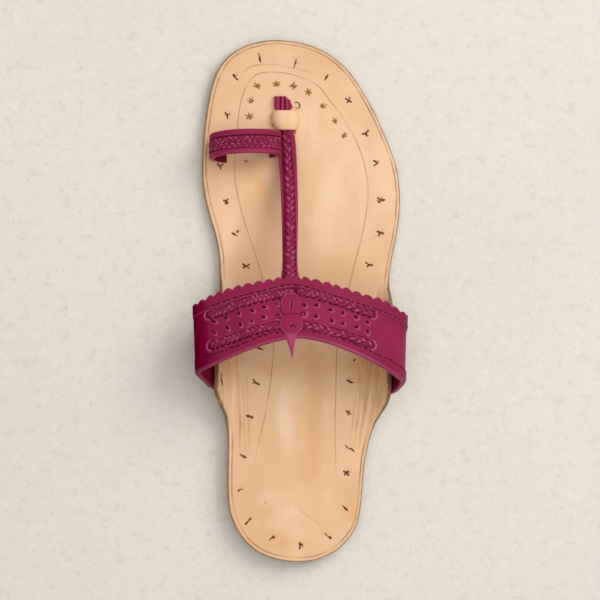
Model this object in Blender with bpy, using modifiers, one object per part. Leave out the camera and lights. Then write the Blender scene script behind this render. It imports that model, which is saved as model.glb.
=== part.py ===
"""Flat leather sandal for the right foot: instep band, toe strap and big-toe loop on a flat leather sole.

Metres, +Z up, +Y towards the toe, +X towards the outer (lateral) side. The origin is on the floor,
below the middle of the sandal. Sizes below are in millimetres and are scaled once, in mesh_object.
"""
import math

import bmesh
import bpy

MM = 0.001

# ---- driving sizes, millimetres -------------------------------------------------------------
SOLE_LENGTH = 257.6
OUTSOLE_T = 3.6          # leather outsole
INSOLE_T = 2.6           # leather insole, ears included
GAP = 0.3                # between pieces laid on each other
HEEL_LIFT = 5.0          # leather heel lift under the outsole
HEEL_BREAST = 64.0       # front face of the heel lift, from the heel end
BREAST_HOLLOW = 3.0      # how far that face is hollowed towards the heel
HEEL_INSET = 0.8         # heel lift stands inside the outsole's edge
HEEL_ROUND = 26.0        # length of the outline's round heel end
ARCH_FRONT = 132.0       # the outsole comes down to the floor here, from the heel end
SPRING_START = 200.0     # toe spring starts here
TOE_SPRING = 3.2         # and lifts the tip by this
HEEL_END = -129.3        # Y of the heel end in the tables below
CENTRE_X, CENTRE_Y = 1.0, 0.5  # moves every piece so that the whole sandal is centred on the origin

# The sole's outline, a row for each section: distance from the heel end, inner edge, outer edge.
SOLE = (
    # along  medial  lateral
    (0.0, -1.8, -1.8),
    (0.4, -7.6, 3.9),
    (1.4, -13.0, 8.0),
    (3.2, -18.3, 12.6),
    (6.0, -23.3, 17.4),
    (9.0, -26.9, 20.8),
    (12.5, -29.9, 23.8),
    (17.0, -32.7, 26.4),
    (23.0, -35.2, 28.2),
    (30.0, -36.5, 29.1),
    (38.0, -36.8, 29.8),
    (50.0, -36.7, 31.0),
    (60.3, -36.6, 33.1),
    (81.0, -37.2, 36.2),
    (101.0, -38.2, 38.9),
    (121.0, -39.4, 41.3),
    (140.0, -40.5, 43.2),
    (149.3, -40.8, 44.6),
    (159.2, -42.3, 46.6),
    (169.1, -45.1, 48.2),
    (179.0, -47.7, 48.8),
    (189.0, -49.1, 48.1),
    (196.5, -49.3, 46.7),
    (203.0, -49.0, 44.5),
    (212.0, -48.3, 40.8),
    (220.3, -47.3, 37.0),
    (227.4, -46.2, 33.3),
    (233.8, -44.8, 29.4),
    (239.4, -43.0, 25.7),
    (243.9, -40.9, 21.9),
    (248.0, -37.9, 17.4),
    (251.0, -34.6, 13.0),
    (253.3, -30.9, 8.6),
    (255.1, -26.9, 4.0),
    (256.4, -22.4, -1.0),
    (257.2, -18.3, -6.4),
    (SOLE_LENGTH, -12.6, -12.6),
)

# The insole's two ears at the waist, a row for each section: how far their edge stands outside
# the sole's own outline on each side, and how high the edge is turned up.
EARS = (
    # along  medial  lateral  rise
    (58.0, 0.0, 0.0, 0.0),
    (63.2, 0.3, 0.6, 0.4),
    (67.7, 0.9, 1.8, 1.3),
    (72.3, 2.0, 3.8, 3.2),
    (76.4, 3.5, 5.6, 5.8),
    (80.4, 5.3, 6.8, 8.4),
    (84.5, 6.5, 6.7, 10.4),
    (92.5, 6.0, 5.7, 12.0),
    (99.0, 5.6, 5.1, 12.5),
    (108.0, 5.2, 4.6, 12.3),
    (118.0, 4.2, 4.2, 10.8),
    (125.0, 2.8, 3.6, 7.8),
    (130.0, 1.6, 2.6, 5.0),
    (135.0, 0.6, 1.2, 2.2),
    (140.0, 0.0, 0.3, 0.4),
    (144.0, 0.0, 0.0, 0.0),
)
EAR_FOLD = 5.6           # the fold lies this far inside the sole's outline
EAR_CURVE = 1.7          # power of the ear's upturned section

# The instep band, a row for each edge and place along it: outer face, millimetres.
BAND_T = 2.4
BAND_SQUARE = 2.25       # power of the arch: 2 is an ellipse, more is squarer
BAND_SWEEP = {"front": (0.42, 3.6), "rear": (0.0, 1.6)}  # how each edge falls back from its crown
BAND_ROOT = 0.62         # the band's end lies on the ear down to this share of its width
BAND = {
    # place: x, y, z
    "front": {"crown": (-7.5, 11.0, 47.0), "medial": (-52.9, -2.7, 29.0), "lateral": (50.8, -9.0, 29.0),
              "medial_root": (-8.5, -10.5), "lateral_root": (-14.5, -17.0)},
    "rear": {"crown": (-4.0, -18.4, 56.0), "medial": (-51.8, -34.8, 31.0), "lateral": (49.9, -39.7, 31.0),
             "medial_root": (-42.2, -44.5), "lateral_root": (-45.4, -47.5)},
}

# The toe strap, a row for each section from its front end back to the band: its top face.
TOE_STRAP_T = 2.6
TOE_STRAP = (
    # y      x     z_top  width
    (100.6, -9.4, 10.6, 8.7),
    (97.0, -9.2, 10.3, 8.7),
    (94.9, -8.9, 10.1, 8.5),
    (94.0, -8.8, 10.0, 6.7),
    (89.0, -8.2, 9.8, 6.6),
    (85.0, -7.7, 9.9, 6.6),
    (80.5, -7.4, 10.9, 7.6),
    (77.0, -7.3, 11.7, 8.1),
    (72.0, -7.3, 13.2, 8.6),
    (60.0, -7.0, 18.6, 8.4),
    (45.0, -6.9, 26.3, 8.1),
    (30.0, -7.2, 34.4, 7.5),
    (19.0, -7.5, 40.6, 7.3),
    (15.0, -7.6, 42.9, 7.7),
    (11.0, -7.6, 45.0, 8.9),
    (0.5, -7.6, 48.6, 9.2),
)

# The big-toe loop, a row for each section from its inner end to its outer end: its middle line.
LOOP_T = 2.4
LOOP_WIDTH = 11.8
TOE_LOOP = (
    # x      y      z
    (-37.8, 73.8, 4.9),
    (-39.3, 73.9, 7.6),
    (-42.8, 74.3, 10.0),
    (-44.8, 74.9, 15.6),
    (-43.2, 75.8, 21.4),
    (-37.2, 76.8, 26.2),
    (-28.0, 77.3, 27.7),
    (-18.8, 77.4, 25.2),
    (-13.2, 77.2, 19.6),
    (-12.4, 76.9, 14.2),
    (-13.6, 76.5, 9.6),
    (-15.6, 76.3, 4.9),
)
SLIT_CLEARANCE = 0.35

# The leather bridge that holds the toe strap's front end down on the insole, a row for each
# section: how wide and how high above the insole its outer face is.
BRIDGE_SQUARE = 2.8
TUNNEL_HALF, TUNNEL_SIDE, TUNNEL_TOP = 3.7, 3.15, 3.65
BRIDGE = (
    # y      x     half   high
    (84.0, -7.7, 5.1, 4.7),
    (85.2, -7.8, 5.9, 5.1),
    (87.2, -8.0, 6.7, 5.5),
    (89.4, -8.2, 7.0, 5.6),
    (91.4, -8.5, 6.8, 5.5),
    (92.8, -8.6, 6.2, 5.2),
    (93.7, -8.7, 5.5, 4.8),
)

# The ornament on the middle of the band: two round lobes and a pointed tail, laid over the band.
ORNAMENT_T = 1.3
ORNAMENT_X = -7.5
ORNAMENT = (
    # share of the band's width from its front edge, half width
    (0.255, 0.5),
    (0.275, 2.6),
    (0.33, 4.1),
    (0.43, 4.8),
    (0.53, 4.5),
    (0.60, 4.1),
    (0.64, 4.6),
    (0.71, 5.4),
    (0.78, 5.65),
    (0.85, 5.2),
    (0.91, 3.9),
    (0.945, 2.8),
    (0.97, 2.6),
    (1.10, 1.7),
    (1.24, 0.9),
    (1.36, 0.3),
)


# ---- curves through the tables --------------------------------------------------------------
def through(knots, values, t):
    """Smooth curve through (knot, value) pairs; each knot's slope comes from its neighbours."""
    n = len(knots)
    if t <= knots[0]:
        return values[0]
    if t >= knots[-1]:
        return values[-1]
    i = max(k for k in range(n - 1) if knots[k] <= t)

    def slope(k):
        if k == 0:
            return (values[1] - values[0]) / (knots[1] - knots[0])
        if k == n - 1:
            return (values[-1] - values[-2]) / (knots[-1] - knots[-2])
        a, b = knots[k] - knots[k - 1], knots[k + 1] - knots[k]
        sa, sb = (values[k] - values[k - 1]) / a, (values[k + 1] - values[k]) / b
        return (sa * b + sb * a) / (a + b)

    h = knots[i + 1] - knots[i]
    s = (t - knots[i]) / h
    m0, m1 = slope(i) * h, slope(i + 1) * h
    return (
        values[i] * (2 * s**3 - 3 * s**2 + 1)
        + m0 * (s**3 - 2 * s**2 + s)
        + values[i + 1] * (-2 * s**3 + 3 * s**2)
        + m1 * (s**3 - s**2)
    )


def smooth(a, b, t):
    s = min(1.0, max(0.0, (t - a) / (b - a)))
    return s * s * (3 - 2 * s)


def turn_of(along):
    """The outline is smooth in this angle, 0 at the heel end and pi at the toe's tip."""
    return math.acos(max(-1.0, min(1.0, 1 - 2 * along / SOLE_LENGTH)))


SOLE_TURNS = [turn_of(r[0]) for r in SOLE]


def edges(along):
    """Inner and outer edge of the sole at this distance from the heel end."""
    t = turn_of(along)
    return (
        through(SOLE_TURNS, [r[1] for r in SOLE], t),
        through(SOLE_TURNS, [r[2] for r in SOLE], t),
    )


def ear(along):
    rows = [r[0] for r in EARS]
    return [through(rows, [r[k] for r in EARS], along) for k in (1, 2, 3)]


def y_of(along):
    return along + HEEL_END


def ground(along):
    """Height of the outsole's underside."""
    z = (HEEL_LIFT + GAP) * (1 - smooth(HEEL_BREAST + 4, ARCH_FRONT, along))
    if along > SPRING_START:
        z += TOE_SPRING * ((along - SPRING_START) / (SOLE_LENGTH - SPRING_START)) ** 2
    return z


def deck(along):
    """Height of the insole's top face away from its ears."""
    return ground(along) + OUTSOLE_T + GAP + INSOLE_T


def ear_point(side, along, share, below=0.0):
    """Point on an ear: share 0 at its fold and 1 at its edge, on the top face or this far below it."""
    inner, outer = edges(along)
    flare_m, flare_l, rise = ear(along)
    edge, flare = (inner, flare_m) if side < 0 else (outer, flare_l)
    fold = edge - side * min(EAR_FOLD, 0.2 * (outer - inner))
    wide = abs(edge - fold) + flare
    if rise > 0:  # the turned-up leather's own thickness is part of the outline
        lean = rise * EAR_CURVE / wide
        wide -= INSOLE_T * lean / math.sqrt(1 + lean * lean)
    x = fold + side * wide * share
    z = deck(along) + rise * share**EAR_CURVE
    m = rise * EAR_CURVE / wide * share ** (EAR_CURVE - 1)
    n = math.sqrt(1 + m * m)
    return x + side * below * m / n, z - below / n


def band_path(edge):
    """Inner face of the band along one edge, from the inner side's root over the foot to the outer side's."""
    sizes = BAND[edge]
    cx, cy, cz = sizes["crown"]
    found = []
    for side, name in ((-1, "medial"), (1, "lateral")):
        sx, sy, sz = sizes[name]
        ear_y, root_y = sizes[name + "_root"]
        half = []
        for k in range(4):  # on the ear, below its edge
            share = BAND_ROOT + (1 - BAND_ROOT) * k / 3
            y = root_y + (ear_y - root_y) * k / 3
            x, z = ear_point(side, y - HEEL_END, share, INSOLE_T + GAP + 0.25)
            half.append((x, y, z))
        (x0, _, z0), (x1, y1, z1) = half[-2], half[-1]
        long = math.hypot(x1 - x0, z1 - z0)
        tx, tz = (x1 - x0) / long, (z1 - z0) / long
        ex, ez = sx - side * BAND_T, sz
        reach = 0.4 * math.hypot(ex - x1, ez - z1)
        for k in range(1, 7):  # out to the widest place
            s = k / 6
            w = ((1 - s) ** 3, 3 * s * (1 - s) ** 2, 3 * s * s * (1 - s), s**3)
            x = w[0] * x1 + w[1] * (x1 + tx * reach) + w[2] * ex + w[3] * ex
            z = w[0] * z1 + w[1] * (z1 + tz * reach) + w[2] * (ez - reach) + w[3] * ez
            half.append((x, y1 + (sy - y1) * s, z))
        top = cz - BAND_T
        steps = 16
        for k in range(1, steps + 1):  # over to the crown
            a = math.pi / 2 * k / steps
            wide = math.cos(a) ** (2 / BAND_SQUARE) if k < steps else 0.0
            high = math.sin(a) ** (2 / BAND_SQUARE)
            x = cx + (ex - cx) * wide
            z = ez + (top - ez) * high
            straight, power = BAND_SWEEP[edge]
            y = cy + (sy - cy) * (straight * wide + (1 - straight) * wide**power)
            half.append((x, y, z))
        found.append(half)
    return found[0] + found[1][-2::-1]


def sweep_frame(rows, k):
    a, b = rows[max(0, k - 1)], rows[min(len(rows) - 1, k + 1)]
    d = [b[i] - a[i] for i in range(3)]
    n = math.sqrt(sum(v * v for v in d))
    return [v / n for v in d]


# ---- making objects ---------------------------------------------------------------------------
for old in list(bpy.data.objects):
    bpy.data.objects.remove(old, do_unlink=True)

sandal = bpy.data.collections.new("flat_sandal")
cutters = bpy.data.collections.new("cutters")
cutters.hide_render = True
bpy.context.scene.collection.children.link(sandal)
bpy.context.scene.collection.children.link(cutters)


def leather(name, colour, rough):
    m = bpy.data.materials.new(name)
    m.use_nodes = True
    p = m.node_tree.nodes["Principled BSDF"]
    p.inputs["Base Color"].default_value = (*colour, 1)
    p.inputs["Roughness"].default_value = rough
    p.inputs["Metallic"].default_value = 0.0
    m.diffuse_color = (*colour, 1)
    return m


TAN = leather("tan_leather", (0.72, 0.47, 0.27), 0.5)
BROWN = leather("sole_leather", (0.42, 0.24, 0.12), 0.6)
WINE = leather("wine_leather", (0.27, 0.02, 0.09), 0.42)


def mesh_object(name, verts, faces, material, home):
    mesh = bpy.data.meshes.new(name)
    mesh.from_pydata([((x + CENTRE_X) * MM, (y + CENTRE_Y) * MM, z * MM) for x, y, z in verts], [], faces)
    mesh.update()
    bm = bmesh.new()
    bm.from_mesh(mesh)
    bmesh.ops.remove_doubles(bm, verts=bm.verts, dist=1e-6)
    bmesh.ops.recalc_face_normals(bm, faces=bm.faces)
    bm.to_mesh(mesh)
    bm.free()
    obj = bpy.data.objects.new(name, mesh)
    home.objects.link(obj)
    if material:
        mesh.materials.append(material)
    if home is cutters:
        obj.hide_render = True
        obj.display_type = "WIRE"
    return obj


def plate(name, material, first, last, count, section, home=sandal):
    """A slab lofted through sections along the sole; section(along) gives x0, x1, z0, z1 and a Y shift."""
    verts, faces = [], []
    t0, t1 = turn_of(first), turn_of(last)
    for k in range(count + 1):
        along = SOLE_LENGTH / 2 * (1 - math.cos(t0 + (t1 - t0) * k / count))
        for x, z in section(along):
            verts.append((x, y_of(along), z))
    n = len(section(first))
    for k in range(count):
        for i in range(n):
            a, b = k * n + i, k * n + (i + 1) % n
            faces.append((a, b, b + n, a + n))
    faces.append(tuple(range(n)))
    faces.append(tuple(reversed(range(count * n, count * n + n))))
    return mesh_object(name, verts, faces, material, home)


def subtract(obj, cutter):
    m = obj.modifiers.new("cut_" + cutter.name, "BOOLEAN")
    m.operation = "DIFFERENCE"
    m.solver = "EXACT"
    m.object = cutter


def unite(obj, other):
    m = obj.modifiers.new("join_" + other.name, "BOOLEAN")
    m.operation = "UNION"
    m.solver = "EXACT"
    m.object = other


# ---- outsole: flat leather with a low arch, a rounded edge line and toe spring -----------------
EDGE_ROUND = 0.9
TIP = 0.15  # the loft starts and ends this far inside the outline's two tips


def outsole_section(along):
    inner, outer = edges(along)
    low, high = ground(along), ground(along) + OUTSOLE_T
    r = min(EDGE_ROUND, 0.3 * (outer - inner))
    return [
        (inner + r, low), (outer - r, low), (outer, low + r), (outer, high - 0.3),
        (outer - 0.3, high), (inner + 0.3, high), (inner, high - 0.3), (inner, low + r),
    ]


plate("outsole", BROWN, TIP, SOLE_LENGTH - TIP, 72, outsole_section)


# ---- heel lift ------------------------------------------------------------------------------------
def heel_lift():
    """Stacked leather lift: the sole's outline inset, with a hollow front face."""
    count, columns = 30, 8
    verts, faces = [], []
    for k in range(count + 1):
        t = turn_of(TIP) + (turn_of(HEEL_BREAST) - turn_of(TIP)) * k / count
        along = SOLE_LENGTH / 2 * (1 - math.cos(t))
        inner, outer = edges(along)
        back = max(0.0, 1 - along / HEEL_ROUND)
        inset = min(HEEL_INSET * math.sqrt(1 - back * back), 0.25 * (outer - inner))
        inner, outer = inner + inset, outer - inset
        for level in (0.0, HEEL_LIFT):
            for i in range(columns + 1):
                s = i / columns
                hollow = BREAST_HOLLOW * 4 * s * (1 - s) * smooth(HEEL_BREAST - 24, HEEL_BREAST, along)
                y = y_of(along) + HEEL_INSET * back - hollow
                verts.append((inner + (outer - inner) * s, y, level))
    row = 2 * (columns + 1)
    for k in range(count):
        a = k * row
        for i in range(columns):
            faces.append((a + i, a + i + 1, a + i + 1 + row, a + i + row))
            u = a + columns + 1
            faces.append((u + i, u + i + row, u + i + 1 + row, u + i + 1))
        for i in (0, columns):
            u = a + columns + 1
            faces.append((a + i, a + i + row, u + i + row, u + i))
    for k in (0, count):
        a, u = k * row, k * row + columns + 1
        for i in range(columns):
            faces.append((a + i, u + i, u + i + 1, a + i + 1))
    return mesh_object("heel_lift", verts, faces, BROWN, sandal)


heel_lift()


# ---- insole with its turned-up ears ----------------------------------------------------
def insole_top(name, home):
    """The insole's top face as an open sheet."""
    count, ear_steps = 80, 5
    verts, faces = [], []
    for k in range(count + 1):
        t = turn_of(TIP) + (turn_of(SOLE_LENGTH - TIP) - turn_of(TIP)) * k / count
        along = SOLE_LENGTH / 2 * (1 - math.cos(t))
        row = [ear_point(-1, along, 1 - i / ear_steps) for i in range(ear_steps + 1)]
        far = [ear_point(1, along, i / ear_steps) for i in range(ear_steps + 1)]
        middle = [
            (row[-1][0] + (far[0][0] - row[-1][0]) * i / 3, deck(along)) for i in (1, 2)
        ]
        for x, z in row + middle + far:
            verts.append((x, y_of(along), z))
    n = 2 * (ear_steps + 1) + 2
    for k in range(count):
        for i in range(n - 1):
            a = k * n + i
            faces.append((a, a + 1, a + 1 + n, a + n))
    return mesh_object(name, verts, faces, TAN, home)


insole = insole_top("insole", sandal)
for face in insole.data.polygons:
    if face.normal.z < 0:
        insole.data.flip_normals()
        break
shell = insole.modifiers.new("thickness", "SOLIDIFY")
shell.thickness = INSOLE_T * MM
shell.offset = -1.0
shell.use_even_offset = True


# ---- bridge: an arch of leather over the strap's front end, standing on the insole ------------------------
def bridge():
    verts, faces = [], []
    count, arch = 12, 14
    keys = [r[0] for r in BRIDGE]
    for k in range(count + 1):
        y = keys[0] + (keys[-1] - keys[0]) * k / count
        x, half, high = (through(keys, [r[c] for r in BRIDGE], y) for c in (1, 2, 3))
        foot = deck(y - HEEL_END)
        ring = [(half, GAP)]
        for i in range(arch + 1):
            a = math.pi * i / arch
            c, d = math.cos(a), math.sin(a)
            ring.append((
                math.copysign(abs(c) ** (2 / BRIDGE_SQUARE), c) * half,
                GAP + 0.6 + (high - GAP - 0.6) * d ** (2 / BRIDGE_SQUARE) if 0 < i < arch else GAP + 0.6,
            ))
        ring += [
            (-half, GAP), (-TUNNEL_HALF, GAP), (-TUNNEL_HALF, TUNNEL_SIDE),
            (-TUNNEL_HALF / 2, TUNNEL_TOP), (TUNNEL_HALF / 2, TUNNEL_TOP),
            (TUNNEL_HALF, TUNNEL_SIDE), (TUNNEL_HALF, GAP),
        ]
        verts += [(x + px, y, foot + pz) for px, pz in ring]
    n = len(ring)
    for k in range(count):
        for i in range(n):
            a, b = k * n + i, k * n + (i + 1) % n
            faces.append((a, b, b + n, a + n))
    faces += [tuple(range(n)), tuple(reversed(range(count * n, count * n + n)))]
    return mesh_object("strap_bridge", verts, faces, TAN, sandal)


bridge()


# ---- upper: band, toe strap and toe loop, joined where they meet ------------------------------------------
def band():
    """The instep band: a ruled sheet between its front and rear edges, given its thickness outwards."""
    across = 5
    front, rear = band_path("front"), band_path("rear")
    verts, faces = [], []
    for f, r in zip(front, rear):
        for i in range(across + 1):
            s = i / across
            verts.append(tuple(f[c] + (r[c] - f[c]) * s for c in range(3)))
    n = across + 1
    for k in range(len(front) - 1):
        for i in range(across):
            a = k * n + i
            faces.append((a, a + 1, a + 1 + n, a + n))
    obj = mesh_object("upper", verts, faces, WINE, sandal)
    top = max(obj.data.polygons, key=lambda p: p.center.z)
    if top.normal.z < 0:
        obj.data.flip_normals()
    shell = obj.modifiers.new("thickness", "SOLIDIFY")
    shell.thickness = BAND_T * MM
    shell.offset = 1.0
    shell.use_even_offset = True
    return obj


def toe_strap():
    """A flat strap with a slightly crowned top, lofted back along its table."""
    verts, faces = [], []
    keys = [-r[0] for r in TOE_STRAP]
    places = [keys[0]]
    for a, b in zip(keys, keys[1:]):
        steps = max(1, round((b - a) / 3.5))
        places += [a + (b - a) * i / steps for i in range(1, steps + 1)]
    rows = []
    for place in places:
        x, z, w = (through(keys, [r[c] for r in TOE_STRAP], place) for c in (1, 2, 3))
        rows.append((x, -place, z, w))
    count = len(rows) - 1
    for k, (x, y, z, w) in enumerate(rows):
        d = sweep_frame([r[:3] for r in rows], k)
        up = (0.0, -d[2], d[1]) if d[1] > 0 else (0.0, d[2], -d[1])
        n = math.hypot(up[1], up[2])
        up = (0.0, up[1] / n, up[2] / n)
        for sx, h in ((-0.5, -TOE_STRAP_T), (0.5, -TOE_STRAP_T), (0.5, -0.5), (0.22, 0.0), (-0.22, 0.0), (-0.5, -0.5)):
            verts.append((x + sx * w, y + up[1] * h, z + up[2] * h))
    n = 6
    for k in range(count):
        for i in range(n):
            a, b = k * n + i, k * n + (i + 1) % n
            faces.append((a, b, b + n, a + n))
    faces += [tuple(range(n)), tuple(reversed(range(count * n, count * n + n)))]
    return mesh_object("toe_strap", verts, faces, None, cutters)


def toe_loop(name, grow=0.0, longer=0.0):
    """The arch over the big toe, swept along its middle line; grow makes the cutter for its slits."""
    rows = [tuple(r) for r in TOE_LOOP]
    if longer:
        for end, nxt in ((0, 1), (-1, -2)):
            d = [rows[end][c] - rows[nxt][c] for c in range(3)]
            n = math.sqrt(sum(v * v for v in d))
            rows[end] = tuple(rows[end][c] + d[c] / n * longer for c in range(3))
    lengths = [0.0]
    for a, b in zip(rows, rows[1:]):
        lengths.append(lengths[-1] + math.dist(a, b))
    count = 30
    line = [
        tuple(through(lengths, [r[c] for r in rows], lengths[-1] * k / count) for c in range(3))
        for k in range(count + 1)
    ]
    verts, faces = [], []
    w, t = LOOP_WIDTH / 2 + grow, LOOP_T / 2 + grow
    for k, (x, y, z) in enumerate(line):
        d = sweep_frame(line, k)
        n = math.hypot(d[0], d[2])
        out = (-d[2] / n, 0.0, d[0] / n)
        for sy, st in ((-1, -1), (1, -1), (1, 1), (-1, 1)):
            verts.append((x + out[0] * st * t, y + sy * w, z + out[2] * st * t))
    for k in range(count):
        for i in range(4):
            a, b = k * 4 + i, k * 4 + (i + 1) % 4
            faces.append((a, b, b + 4, a + 4))
    faces += [(0, 1, 2, 3), tuple(count * 4 + i for i in (3, 2, 1, 0))]
    return mesh_object(name, verts, faces, None, cutters)


upper = band()
unite(upper, toe_strap())
unite(upper, toe_loop("toe_loop"))
subtract(insole, toe_loop("loop_slits", SLIT_CLEARANCE, 3.0))


# ---- ornament: lies on the band's outer face, its tail past the rear edge -----------------------------------
def ornament():
    front, rear = band_path("front"), band_path("rear")
    def band_outer(share, sideways, lift):
        """Point this far above the band's outer face; sideways in mm from the ornament's centre line."""
        def at(k):
            return [front[k][c] + (rear[k][c] - front[k][c]) * share for c in range(3)]
        want = ORNAMENT_X + sideways
        k = min(range(9, len(front) - 10), key=lambda i: abs(at(i)[0] - want))
        k = k if at(k)[0] <= want else k - 1
        a, b = at(k), at(k + 1)
        s = (want - a[0]) / (b[0] - a[0])
        p = [a[c] + (b[c] - a[c]) * s for c in range(3)]
        along = [b[c] - a[c] for c in range(3)]
        back = [rear[k][c] - front[k][c] for c in range(3)]
        n = [
            along[1] * back[2] - along[2] * back[1],
            along[2] * back[0] - along[0] * back[2],
            along[0] * back[1] - along[1] * back[0],
        ]
        size = math.copysign(math.sqrt(sum(v * v for v in n)), n[2])
        return tuple(p[c] + n[c] / size * (BAND_T + lift) for c in range(3))

    count, across = 30, 8
    shares = [r[0] for r in ORNAMENT]
    verts, faces = [], []
    for lift in (GAP + 0.15, GAP + 0.15 + ORNAMENT_T):
        for k in range(count + 1):
            share = shares[0] + (shares[-1] - shares[0]) * k / count
            half = through(shares, [r[1] for r in ORNAMENT], share)
            for i in range(across + 1):
                verts.append(band_outer(share, half * (2 * i / across - 1), lift))
    n = across + 1
    top = (count + 1) * n
    for k in range(count):
        for i in range(across):
            a = k * n + i
            faces.append((a, a + n, a + n + 1, a + 1))
            faces.append((top + a, top + a + 1, top + a + n + 1, top + a + n))
        for i in (0, across):
            a = k * n + i
            faces.append((a, a + n, top + a + n, top + a))
    for k in (0, count):
        for i in range(across):
            a = k * n + i
            faces.append((a, a + 1, top + a + 1, top + a))
    return mesh_object("ornament", verts, faces, WINE, sandal)


ornament()

for obj in sandal.objects:
    obj.data.shade_smooth()
    obj.data.set_sharp_from_angle(angle=math.radians(35))
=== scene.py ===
"""Looks of the flat leather sandal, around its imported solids. Metres, +Z up, +Y to the toe, +X to the outer side."""
import math
import random

import bpy
import numpy as np
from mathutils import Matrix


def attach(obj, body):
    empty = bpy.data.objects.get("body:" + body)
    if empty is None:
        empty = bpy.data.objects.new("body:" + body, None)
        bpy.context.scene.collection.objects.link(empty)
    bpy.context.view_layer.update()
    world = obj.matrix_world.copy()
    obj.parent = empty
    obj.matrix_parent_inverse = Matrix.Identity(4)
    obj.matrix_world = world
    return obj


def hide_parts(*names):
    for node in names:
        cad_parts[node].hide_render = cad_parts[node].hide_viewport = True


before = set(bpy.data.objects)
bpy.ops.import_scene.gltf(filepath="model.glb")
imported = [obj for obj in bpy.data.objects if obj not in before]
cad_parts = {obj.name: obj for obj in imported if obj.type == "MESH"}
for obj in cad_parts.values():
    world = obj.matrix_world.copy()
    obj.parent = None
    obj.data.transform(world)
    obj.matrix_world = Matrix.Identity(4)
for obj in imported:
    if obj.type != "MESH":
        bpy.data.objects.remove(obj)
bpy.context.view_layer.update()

scene = bpy.context.scene
scene.view_settings.view_transform = "Standard"
MM = 0.001

# ---- camera: straight above the floor, a little to the sandal's inner side --------------------
EYE = (-0.0569, 0.0005, 1.108)
cam = bpy.data.objects.new("camera", bpy.data.cameras.new("camera"))
scene.collection.objects.link(cam)
cam.location = EYE
cam.rotation_euler = (0.0, -math.atan2(0.0569, 1.1), 0.0)
cam.data.sensor_width = 36.0
cam.data.lens = 36.0 / 600 * 1100 / 0.4945
cam.data.clip_start = 0.01
scene.camera = cam

# ---- light: a large soft lamp to the upper right, and an even pale room -------------------------
world = bpy.data.worlds.new("studio")
scene.world = world
world.use_nodes = True
world.node_tree.nodes["Background"].inputs["Color"].default_value = (1.0, 0.945, 0.87, 1)
world.node_tree.nodes["Background"].inputs["Strength"].default_value = 0.27


def area(name, place, size, watts, colour=(1, 1, 1)):
    light = bpy.data.lights.new(name, "AREA")
    light.shape = "DISK"
    light.size = size
    light.energy = watts
    light.color = colour
    o = bpy.data.objects.new(name, light)
    scene.collection.objects.link(o)
    o.location = place
    o.rotation_euler = (-o.location).to_track_quat("-Z", "Y").to_euler()
    return o


area("key", (0.95, 0.80, 1.25), 1.1, 12.7, (1.0, 0.972, 0.93))
area("fill", (0.12, 0.10, 1.5), 1.8, 13.2, (1.0, 0.975, 0.945))

# The sandal's sizes below are in millimetres, in the same tables as its solids.
CENTRE_X, CENTRE_Y = 1.0, 0.5  # moves every piece so that the whole sandal is centred on the origin
# ---- driving sizes, millimetres -------------------------------------------------------------
SOLE_LENGTH = 257.6
OUTSOLE_T = 3.6          # leather outsole
INSOLE_T = 2.6           # leather insole, ears included
GAP = 0.3                # between pieces laid on each other
HEEL_LIFT = 5.0          # leather heel lift under the outsole
HEEL_BREAST = 64.0       # front face of the heel lift, from the heel end
BREAST_HOLLOW = 3.0      # how far that face is hollowed towards the heel
HEEL_INSET = 0.8         # heel lift stands inside the outsole's edge
HEEL_ROUND = 26.0        # length of the outline's round heel end
ARCH_FRONT = 132.0       # the outsole comes down to the floor here, from the heel end
SPRING_START = 200.0     # toe spring starts here
TOE_SPRING = 3.2         # and lifts the tip by this
HEEL_END = -129.3        # Y of the heel end in the tables below

# The sole's outline, a row for each section: distance from the heel end, inner edge, outer edge.
SOLE = (
    # along  medial  lateral
    (0.0, -1.8, -1.8),
    (0.4, -7.6, 3.9),
    (1.4, -13.0, 8.0),
    (3.2, -18.3, 12.6),
    (6.0, -23.3, 17.4),
    (9.0, -26.9, 20.8),
    (12.5, -29.9, 23.8),
    (17.0, -32.7, 26.4),
    (23.0, -35.2, 28.2),
    (30.0, -36.5, 29.1),
    (38.0, -36.8, 29.8),
    (50.0, -36.7, 31.0),
    (60.3, -36.6, 33.1),
    (81.0, -37.2, 36.2),
    (101.0, -38.2, 38.9),
    (121.0, -39.4, 41.3),
    (140.0, -40.5, 43.2),
    (149.3, -40.8, 44.6),
    (159.2, -42.3, 46.6),
    (169.1, -45.1, 48.2),
    (179.0, -47.7, 48.8),
    (189.0, -49.1, 48.1),
    (196.5, -49.3, 46.7),
    (203.0, -49.0, 44.5),
    (212.0, -48.3, 40.8),
    (220.3, -47.3, 37.0),
    (227.4, -46.2, 33.3),
    (233.8, -44.8, 29.4),
    (239.4, -43.0, 25.7),
    (243.9, -40.9, 21.9),
    (248.0, -37.9, 17.4),
    (251.0, -34.6, 13.0),
    (253.3, -30.9, 8.6),
    (255.1, -26.9, 4.0),
    (256.4, -22.4, -1.0),
    (257.2, -18.3, -6.4),
    (SOLE_LENGTH, -12.6, -12.6),
)

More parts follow.
